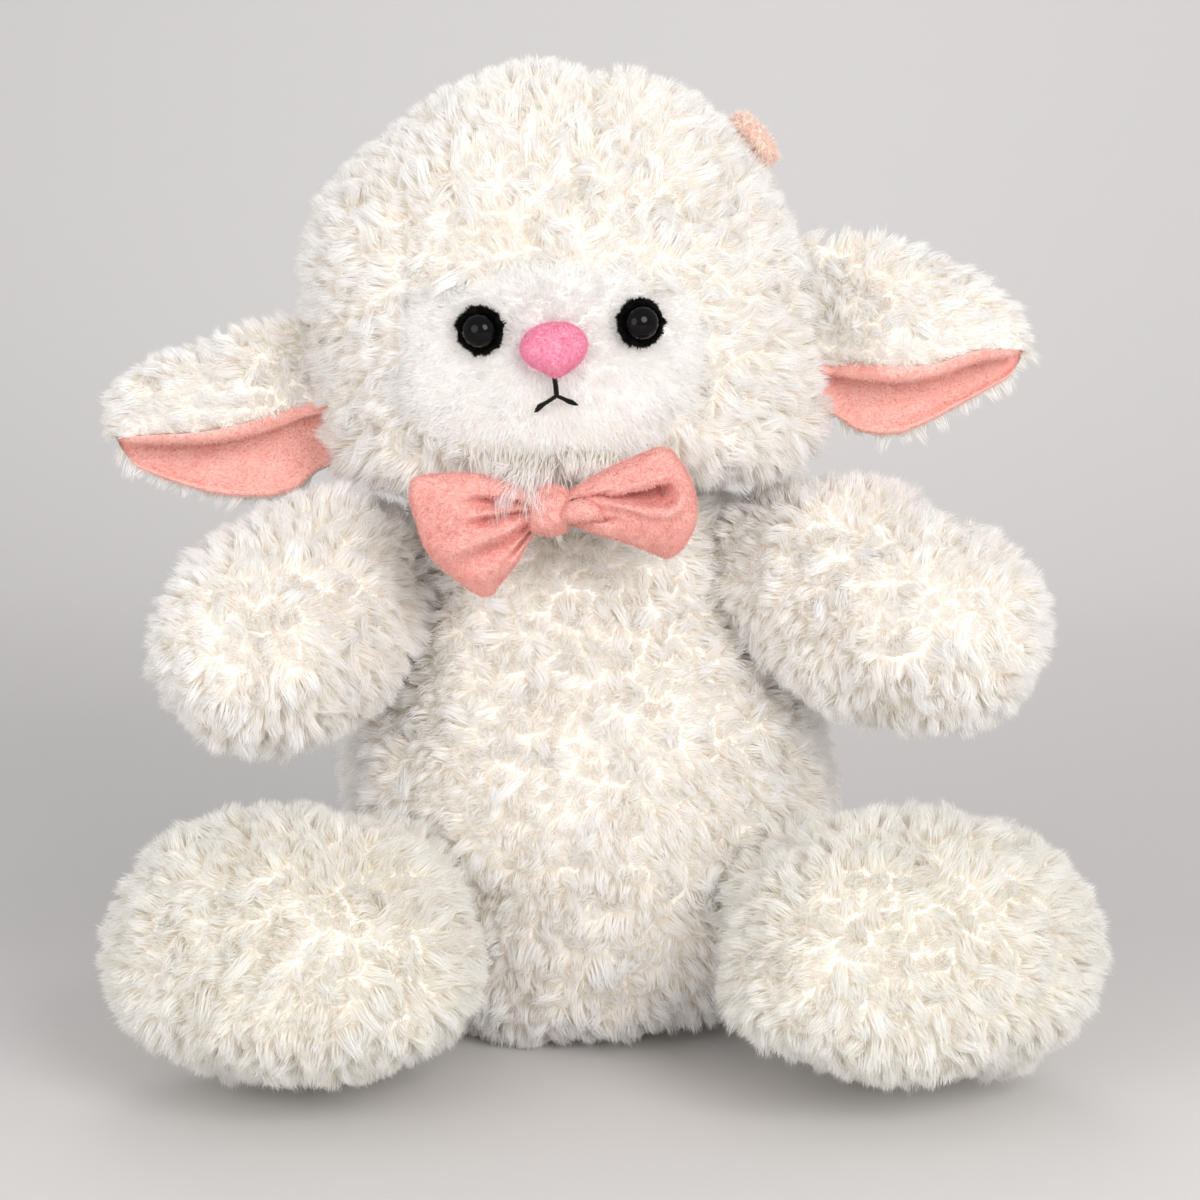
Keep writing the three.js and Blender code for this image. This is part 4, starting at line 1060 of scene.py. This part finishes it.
def one_eye(word, x, seed):
    rng = np.random.default_rng(seed)
    seat = face_seat(x, EYE_HEIGHT)
    matrix, centre = seat
    fit(gloss_dome(f"{word}_eye_gloss_dome", seat), f"{word}_eye_dome", "head", "eye")
    fit(plush_ring(f"{word}_eye_ring_cloth", seat), f"{word}_eye_ring", "head", "ring_pile")
    # Loose pile all over the ring, which stands up against the dome and lies outwards at the edge
    count = int(dense(RING_FIBRES))
    turn = rng.uniform(0, 2 * math.pi, count)
    r = rng.uniform(4.55, RING_RADIUS, count)
    height = rng.uniform(0.4, 1.5, count) + 1.2 * (1 - ramp(r, 4.5, 5.2))
    start = np.stack([r * np.cos(turn), r * np.sin(turn), height], 1)
    lift = rng.uniform(0.1, 1.1, count) + 2.4 * (1 - ramp(r, 4.6, 5.4))
    way = np.stack([np.cos(turn), np.sin(turn), lift], 1) + rng.normal(0, 0.4, (count, 3))
    way = unit(way) * (rng.uniform(0.5, 1.1, count) + 0.35 * waves(start, 1.2, seed))[:, None]
    s = np.linspace(0, 1, 3)[None, :, None]
    strands = (start[:, None] + way[:, None] * s) @ matrix.T + centre
    blades(
        f"{word}_eye_ring_pile", strands, RING_PILE_WIDTH, rng.random(count), unit(way @ matrix.T), BLACK_PILE, "head",
        f"{word}_eye_ring", "ring_pile", rng,
    )


one_eye("left", LEFT_EYE_X, 81)
one_eye("right", RIGHT_EYE_X, 82)


# ---------------------------------------------------------------- nose and mouth
NOSE_OUTLINE = [
    [-1, 0.12], [-0.76, 0.66], [-0.32, 0.94], [0.1, 1], [0.52, 0.93], [0.86, 0.62], [1, 0.14], [0.84, -0.36],
    [0.46, -0.76], [0.05, -1], [-0.36, -0.76], [-0.8, -0.42],
]
NOSE_HALF = [8.6, 7.0]
# How wide the pad is at each place between its seat and its front
NOSE_PROFILE = [[-0.18, 0.9], [0.0, 0.97], [0.25, 1.0], [0.6, 0.87], [0.87, 0.6], [0.97, 0.3], [1.0, 0.02]]
NOSE_SEAT, NOSE_THICK = 0.7, 5.0


def nose():
    rng = np.random.default_rng(83)
    matrix, centre = face_seat(NOSE_X, NOSE_HEIGHT)
    line = closed_curve(NOSE_OUTLINE, 128) * np.array(NOSE_HALF)
    g = np.stack([
        np.column_stack([line * max(share, 0.01), np.full(len(line), NOSE_SEAT + NOSE_THICK * place)])
        for place, share in smooth(NOSE_PROFILE, 36)
    ])
    fit(grid_mesh("nose_velour_pad", g @ matrix.T + centre, PINK), "nose_pad", "head", "nose_velour")
    points, n = scatter(g, grid_normals(g), dense(22), rng)
    strands, tones, facing = locks(
        points, n, np.full(len(points), 0.7), 0.9, None, rng, pull=0.0, curl=0.1, stray=0.2, lean=0.3
    )
    strands, facing = strands @ matrix.T + centre, facing @ matrix.T
    blades("nose_velour_pile", strands, 0.13, tones, facing, PINK_PILE, "head", "nose_pad", "nose_velour", rng)


nose()


def tube(points, radius, sides=10):
    """Rings round a line of points."""
    t = unit(np.gradient(points, axis=0))
    up = np.array([0.3, 0.2, 0.9])
    a = unit(np.cross(t, up))
    b = np.cross(t, a)
    turn = np.linspace(0, 2 * math.pi, sides, endpoint=False)
    r = np.broadcast_to(radius, len(points))[:, None, None]
    return points[:, None] + r * (a[:, None] * np.cos(turn)[None, :, None] + b[:, None] * np.sin(turn)[None, :, None])


THREAD_RADIUS, PLY_SWING = 0.44, 0.28
STITCH_POINTS = 90


def mouth():
    """Three stitches of two twisted plies, the lower ones a little thicker near the lips' corners."""
    top = NOSE_HEIGHT - NOSE_HALF[1] - 0.35
    fork = top - 4.6
    x = NOSE_X
    strokes = [
        [[x - 0.2, top + 0.6], [x + 0.1, top - 2.3], [x + 0.2, fork]],
        [[x + 0.2, fork], [x - 1.9, fork - 1.3], [x - 4.0, fork - 2.5], [x - 5.3, fork - 4.0]],
        [[x + 0.2, fork], [x + 2.6, fork - 1.2], [x + 5.2, fork - 2.6]],
    ]
    along = np.linspace(0, 1, STITCH_POINTS)
    for number, stroke in enumerate(strokes):
        seats = [face_seat(*place) for place in smooth(stroke, STITCH_POINTS)]
        places = np.array([centre + matrix @ np.array([0, 0, 1.3]) for matrix, centre in seats])
        matrix, _ = seats[STITCH_POINTS // 2]
        lips = 0.2 * bell(along, 0.68, 0.13) if number else 0
        radius = THREAD_RADIUS + lips - 0.2 * ramp(along, 0.86, 1)
        for ply in range(2):
            phase = np.linspace(0, 22, STITCH_POINTS) + ply * math.pi
            swing = PLY_SWING * np.stack([np.cos(phase), 0.3 * np.sin(phase), np.sin(phase)], 1)
            thread = grid_mesh(f"mouth_thread_{number + 1}_{ply + 1}", tube(places + swing @ matrix.T, radius), THREAD)
            fit(thread, "mouth_stitch", "head", "thread")


mouth()


# ---------------------------------------------------------------- horns
HORN_HEIGHT = 93
# How deep each horn sits in the fleece, and how far its curl turns
HORN_DEPTH = {1: 4.0, -1: 6.0}
HORN_CURL = math.radians(290)


def one_horn(word, side, back, seed):
    """A small ram's horn: a roll that narrows as it curls, back from the middle of the head's side."""
    rng = np.random.default_rng(seed)
    share, _ = head_row(HORN_HEIGHT)
    matrix, centre = head_seat(side * (math.pi / 2 + math.asin(back / (HEAD["half_depth"] * share))), HORN_HEIGHT)
    centre = centre - matrix[:, 2] * HORN_DEPTH[side]
    turn, curl = np.linspace(0, HORN_CURL, 60), np.linspace(7.6, 4.2, 60)
    line = np.stack([curl * np.cos(turn), side * curl * np.sin(turn), np.full(60, 4.3)], 1)
    radius = np.linspace(3.6, 1.5, 60)
    radius[:3] *= [0.5, 0.8, 0.95]
    radius[-3:] *= [0.9, 0.7, 0.3]
    g = tube(line, radius, 24)
    core = grid_mesh(f"{word}_horn_core", g @ matrix.T + centre, HORN_BACK)
    fit(core, f"{word}_horn", "head", "horn_fleece")
    points, n = scatter(g, grid_normals(g), dense(9), rng)
    strands, tones, facing = locks(
        points, n, np.full(len(points), 1.9), 1.7, None, rng, pull=0.75, curl=1.6, stray=0.2
    )
    strands, facing = strands @ matrix.T + centre, facing @ matrix.T
    blades(f"{word}_horn_pile", strands, 0.28, tones, facing, HORN, "head", f"{word}_horn", "horn_fleece", rng)


one_horn("left", 1, 12, 91)
one_horn("right", -1, 28, 92)


# ---------------------------------------------------------------- bow
BOW = np.array([-13.0, -65.0, 156.0])
BOW_TILT = math.radians(12)
BOW_MATRIX = np.array([
    [1, 0, 0],
    [0, math.cos(BOW_TILT), -math.sin(BOW_TILT)],
    [0, math.sin(BOW_TILT), math.cos(BOW_TILT)],
])
# A loop in its own plane, sideways and up from the knot: its rim from the top corner to the bottom corner
LEFT_RIM = [
    [27.8, 17.0], [31.0, 16.6], [33.6, 13.6], [35.9, 9.0], [37.7, 2.7], [38.0, -1.6], [36.6, -7.0], [33.8, -11.4],
    [30.4, -13.6],
]
RIGHT_RIM = [
    [-33.2, 9.6], [-35.4, 8.2], [-36.0, 5.0], [-35.8, 1.0], [-35.0, -3.2], [-33.0, -8.4], [-29.4, -14.4],
    [-23.5, -20.0], [-18.0, -24.0], [-15.2, -24.0],
]
# Fibres to a square millimetre of the bow's velour
BOW_NAP = 13


def bow_loop(word, rim, root, belly, folds, seed):
    """A puffed loop between its root at the knot and its rim. folds(along, across) gives how deep each fold is."""
    rng = np.random.default_rng(seed)
    across, back = np.linspace(0, 1, 90), np.linspace(1, 0, 46)[1:-1]
    t = np.concatenate([across, back])
    front = np.concatenate([np.ones(len(across), bool), np.zeros(len(back), bool)])
    edge = smooth(rim, 400)
    length = np.concatenate([[0], np.cumsum(np.linalg.norm(np.diff(edge, axis=0), axis=1))])
    rim_at = np.stack([np.interp(t * length[-1], length, edge[:, k]) for k in (0, 1)], 1)
    root_at = np.array(root[0]) * (1 - t[:, None]) + np.array(root[1]) * t[:, None]
    rows = []
    for a in np.linspace(0, math.pi / 2, 76):
        s = math.sin(a)
        place = root_at * (1 - s) + rim_at * s
        bow_out = math.sin(math.pi * s)
        place[:, 1] += belly[0] * (1 - t) ** 3 * bow_out + belly[1] * t**3 * bow_out
        round_end = math.cos(a) ** 0.62
        thick = np.interp(s, [0, 0.12, 0.35, 0.65, 1], [3.0, 3.6, 6.2, 7.4, 7.4]) * round_end
        side = np.clip(1 - np.abs(2 * t - 1) ** 3.2, 0, 1) ** 0.5
        deep = thick * side
        fold = folds(s, t) * np.minimum(side * 1.4, 1) * min(1.0, round_end * 1.6)
        y = np.where(front, -deep + np.minimum(fold, deep * 1.5 + 1.0), deep * 0.75)
        rows.append(np.stack([place[:, 0], y, place[:, 1]], 1))
    g = np.stack(rows)
    normals = grid_normals(g)
    lumps = waves(g.reshape(-1, 3), 7, seed).reshape(g.shape[:2])
    g = g + normals * (0.22 * lumps)[..., None]
    world = g @ BOW_MATRIX.T + BOW
    fit(grid_mesh(f"bow_{word}_loop", world, CORAL), "bow_loops", "torso", "velour")
    velour_nap(f"bow_{word}_loop_nap", world, grid_normals(world), "torso", "bow_loops", rng, BOW_NAP, 0.62)


def crease(s, t, at, width, depth, end):
    """A groove that runs out from the knot and fades."""
    reach = (1 - ramp(s, end * 0.55, end)) * ramp(s, -0.1, 0.04)
    return depth * bell(t, at, width * (0.75 + 0.8 * s)) * reach


def right_folds(s, t):
    """The viewer's left loop: two short creases, a ridge, a broad valley and a tuck by the knot."""
    fold = crease(s, t, 0.2, 0.045, 5.2, 0.66) + crease(s, t, 0.37, 0.04, 5.0, 0.66)
    fold = fold - 1.6 * bell(t, 0.52, 0.07) * ramp(s, 0.1, 0.3) * (1 - ramp(s, 0.8, 1.0))
    fold = fold + 3.4 * bell(t, 0.7, 0.085) * ramp(s, 0.02, 0.2) * (1 - ramp(s, 0.5, 0.92))
    return fold + crease(s, t, 0.86, 0.035, 4.0, 0.5)


# The pocket's middle and half its width across the loop, at places along it
POCKET_AT = [0.25, 0.45, 0.65, 0.82, 0.95]
POCKET_MIDDLE = [0.22, 0.31, 0.375, 0.385, 0.36]
POCKET_HALF_AT = [0.25, 0.45, 0.65, 0.78, 0.86, 0.94]
POCKET_HALF = [0.022, 0.045, 0.085, 0.105, 0.09, 0.06]


def left_folds(s, t):
    """The viewer's right loop: the mouth of the loop opens as a pocket under its upper band."""
    middle = np.interp(s, POCKET_AT, POCKET_MIDDLE)
    half = np.interp(s, POCKET_HALF_AT, POCKET_HALF)
    mouth = np.clip(1 - ((t - middle) / half) ** 2, 0, 1) ** 0.5
    pocket = 9.5 * mouth * ramp(s, 0.18, 0.42) * (1 - ramp(s, 0.7, 0.93))
    lip = 1.3 * bell(t - middle - half, 0.04, 0.05) * ramp(s, 0.25, 0.5) * (1 - ramp(s, 0.85, 1))
    band = 1.0 * bell(t - middle + half, -0.07, 0.05) * ramp(s, 0.2, 0.5) * (1 - ramp(s, 0.85, 1))
    return pocket - lip - band + crease(s, t, 0.2, 0.035, 3.2, 0.5) + crease(s, t, 0.62, 0.05, 2.2, 0.5)


bow_loop("left", LEFT_RIM, [(3.0, 3.6), (3.0, -3.4)], (1.0, 0.8), left_folds, 101)
bow_loop("right", RIGHT_RIM, [(-3.0, 3.6), (-3.0, -4.4)], (3.0, -0.5), right_folds, 102)


# The tuck's middle line and its radius, and the knot's band: place along, and how full it is
TUCK_LINE = [[3.2, -4.4, -0.6], [6.0, -5.8, 1.6], [9.4, -6.0, 2.2], [12.2, -5.4, 0.8], [13.6, -4.2, -1.2]]
TUCK_RADIUS = [[0, 1.2], [0.25, 2.5], [0.5, 2.7], [0.8, 1.7], [1, 0.3]]
KNOT_PROFILE = [[-0.78, 0.0], [-0.9, 0.45], [-0.6, 0.86], [0, 1.0], [0.6, 0.86], [0.9, 0.45], [0.78, 0.0]]
KNOT_HALF_WIDTH, KNOT_CORE, KNOT_FULL = 5.3, 3.6, 2.9


def bow_tuck():
    """The small roll of cloth beside the knot."""
    world = tube(smooth(TUCK_LINE, 46), smooth(TUCK_RADIUS, 46)[:, 1], 28) @ BOW_MATRIX.T + BOW
    fit(grid_mesh("bow_left_tuck", world, CORAL), "bow_loops", "torso", "velour")
    rng = np.random.default_rng(104)
    velour_nap("bow_left_tuck_nap", world, grid_normals(world), "torso", "bow_loops", rng, BOW_NAP)


bow_tuck()


def bow_knot():
    """The band round the middle, with small wrinkles along it."""
    turn = np.linspace(0, 2 * math.pi, 110, endpoint=False)
    out = []
    for along, full in smooth(KNOT_PROFILE, 48):
        wrinkle = 1 + (0.035 * np.sin(turn * 6 + along * 3) + 0.02 * np.sin(turn * 11 - along * 5)) * full
        r = (KNOT_CORE + KNOT_FULL * full) * wrinkle
        shift = 0.5 * np.sin(turn + 0.6) * full
        out.append(np.stack([KNOT_HALF_WIDTH * along + shift, r * np.cos(turn), r * np.sin(turn) * 0.97 - 0.2], 1))
    world = np.stack(out) @ BOW_MATRIX.T + BOW
    fit(grid_mesh("bow_knot_band", world, CORAL), "bow_knot", "torso", "velour")
    rng = np.random.default_rng(103)
    velour_nap("bow_knot_nap", world, grid_normals(world), "torso", "bow_knot", rng, BOW_NAP)


bow_knot()


# ---------------------------------------------------------------- carried-over solids
def dress(node, material):
    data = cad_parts[node].data
    data.materials.clear()
    data.materials.append(material)


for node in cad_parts:
    if node.endswith("_stuffing"):
        dress(node, FIBRE)
    elif node.endswith("lock_washer"):
        dress(node, WASHER)
dress("weight_bag", BAG)
dress("bow_tack", WHITE_THREAD)


# ---------------------------------------------------------------- floor, light and camera
# The paper's grey from the front of the floor to the top behind, with painted shade darkest on the floor just behind
# the object and lighter again towards the bend, and the metres that these stops run over
PAPER_GREYS_AND_PAINTED_SHADE = [
    (0.0, "#dddbda"), (0.14, "#d8d6d5"), (0.29, "#c5c3c3"), (0.46, "#cbc9c9"), (0.69, "#d4d2d1"), (1.0, "#d4d2d1"),
]
PAPER_FRONT, PAPER_BACK = -0.3, 1.0


def paper_material():
    """Matt seamless paper whose grey is darkened by painted shade behind the object and a little towards one side."""
    material, tree = new_material("pale_paper")
    place = add(tree, "ShaderNodeTexCoord").outputs["Object"]
    apart = add(tree, "ShaderNodeSeparateXYZ", {"Vector": place})
    back = add(
        tree, "ShaderNodeMapRange", {"Value": apart.outputs["Y"], "From Min": PAPER_FRONT, "From Max": PAPER_BACK}
    )
    painted_falloff = add(tree, "ShaderNodeValToRGB", {"Fac": back.outputs["Result"]}, PAPER_GREYS_AND_PAINTED_SHADE)
    # Painted shade: the paper a little darker towards -X, the viewer's left
    across = add(
        tree, "ShaderNodeMapRange", {"Value": apart.outputs["X"], "From Min": -0.3, "From Max": 0.1, "To Min": 0.93}
    )
    colour = add(
        tree,
        "ShaderNodeMix",
        {"Factor": 1.0, 6: painted_falloff.outputs["Color"], 7: across.outputs["Result"]},
        data_type="RGBA",
        blend_type="MULTIPLY",
    )
    surface = add(
        tree,
        "ShaderNodeBsdfPrincipled",
        {"Base Color": colour.outputs[2], "Roughness": 0.6, "Specular IOR Level": 0.25},
    )
    add(tree, "ShaderNodeOutputMaterial", {"Surface": surface.outputs[0]})
    return material


# The sheet's width and depth, how high it goes behind, and the radius of its bend, in metres
SHEET_WIDTH, SHEET_DEPTH, SHEET_RISE, SHEET_BEND = 5, 2.5, 2.6, 0.5


def sweep():
    """A pale sheet under the object that turns up behind it: a plane with its far edge drawn up and rounded."""
    middle = (0, -0.25, 0)
    far = 0.96 * SHEET_DEPTH / 2 / MM
    bpy.ops.object.select_all(action="DESELECT")
    bpy.ops.mesh.primitive_plane_add(size=SHEET_WIDTH, location=middle)
    bpy.ops.object.mode_set(mode="EDIT")
    bpy.ops.transform.resize(value=(1, SHEET_DEPTH / SHEET_WIDTH, 1), center_override=middle)
    pick("EDGE", lambda p: p.y > far)
    bpy.ops.mesh.extrude_edges_move(TRANSFORM_OT_translate={"value": (0, 0, SHEET_RISE)})
    pick("EDGE", lambda p: p.y > far and p.z < 100)
    bpy.ops.mesh.bevel(offset=SHEET_BEND, segments=20, affect="EDGES")
    bpy.ops.object.mode_set(mode="OBJECT")
    bpy.ops.object.shade_smooth()
    bpy.ops.object.transform_apply(location=True, rotation=True, scale=True)
    sheet = bpy.context.object
    sheet.name = sheet.data.name = "backdrop"
    sheet.data.materials.append(paper_material())


sweep()


# Soft lamps, in metres and watts: place, what each looks at, size, power and colour
LAMPS = {
    "key": ((0.62, -1.28, 0.78), (0, 0, 0.12), 0.8, 13.4, "#fffefe"),
    "fill": ((-0.85, -1.25, 0.5), (0, 0, 0.12), 1.0, 7.0, "#fafbff"),
    "back": ((-0.1, 0.75, 1.1), (0, 0, 0.2), 0.7, 2.4, "#ffffff"),
}
ROOM_COLOUR, ROOM_STRENGTH = "#f3f2f1", 0.71
# The camera stands a metre from the middle of the lamb and looks a little down at it
CAMERA_TARGET, CAMERA_ELEVATION, CAMERA_ANGLE = Vector((0, 0, 0.119)), math.radians(11.3), math.radians(19.1)

for name, (place, target, size, watts, colour) in LAMPS.items():
    lamp = bpy.data.lights.new(name, "AREA")
    lamp.shape = "DISK"
    lamp.size = size
    lamp.energy = watts
    lamp.color = linear(colour)[:3]
    obj = bpy.data.objects.new(name, lamp)
    bpy.context.scene.collection.objects.link(obj)
    obj.location = place
    obj.rotation_euler = (Vector(target) - Vector(place)).to_track_quat("-Z", "Y").to_euler()

world = bpy.data.worlds.new("soft_room")
bpy.context.scene.world = world
world.use_nodes = True
world.node_tree.nodes["Background"].inputs["Color"].default_value = linear(ROOM_COLOUR)
world.node_tree.nodes["Background"].inputs["Strength"].default_value = ROOM_STRENGTH

camera_data = bpy.data.cameras.new("camera")
camera_data.sensor_fit = "HORIZONTAL"
camera_data.angle = CAMERA_ANGLE
camera_data.clip_start = 0.01
camera = bpy.data.objects.new("camera", camera_data)
bpy.context.scene.collection.objects.link(camera)
camera.location = CAMERA_TARGET + Vector((0, -math.cos(CAMERA_ELEVATION), math.sin(CAMERA_ELEVATION)))
camera.rotation_euler = (CAMERA_TARGET - camera.location).to_track_quat("-Z", "Y").to_euler()

bpy.context.scene.camera = camera

scene = bpy.context.scene
scene.view_settings.view_transform = "Standard"
scene.view_settings.look = "None"
# Light has to pass from fibre to fibre many times before the fleece looks white
scene.cycles.max_bounces = 16
scene.cycles.diffuse_bounces = 10
scene.cycles.transmission_bounces = 8
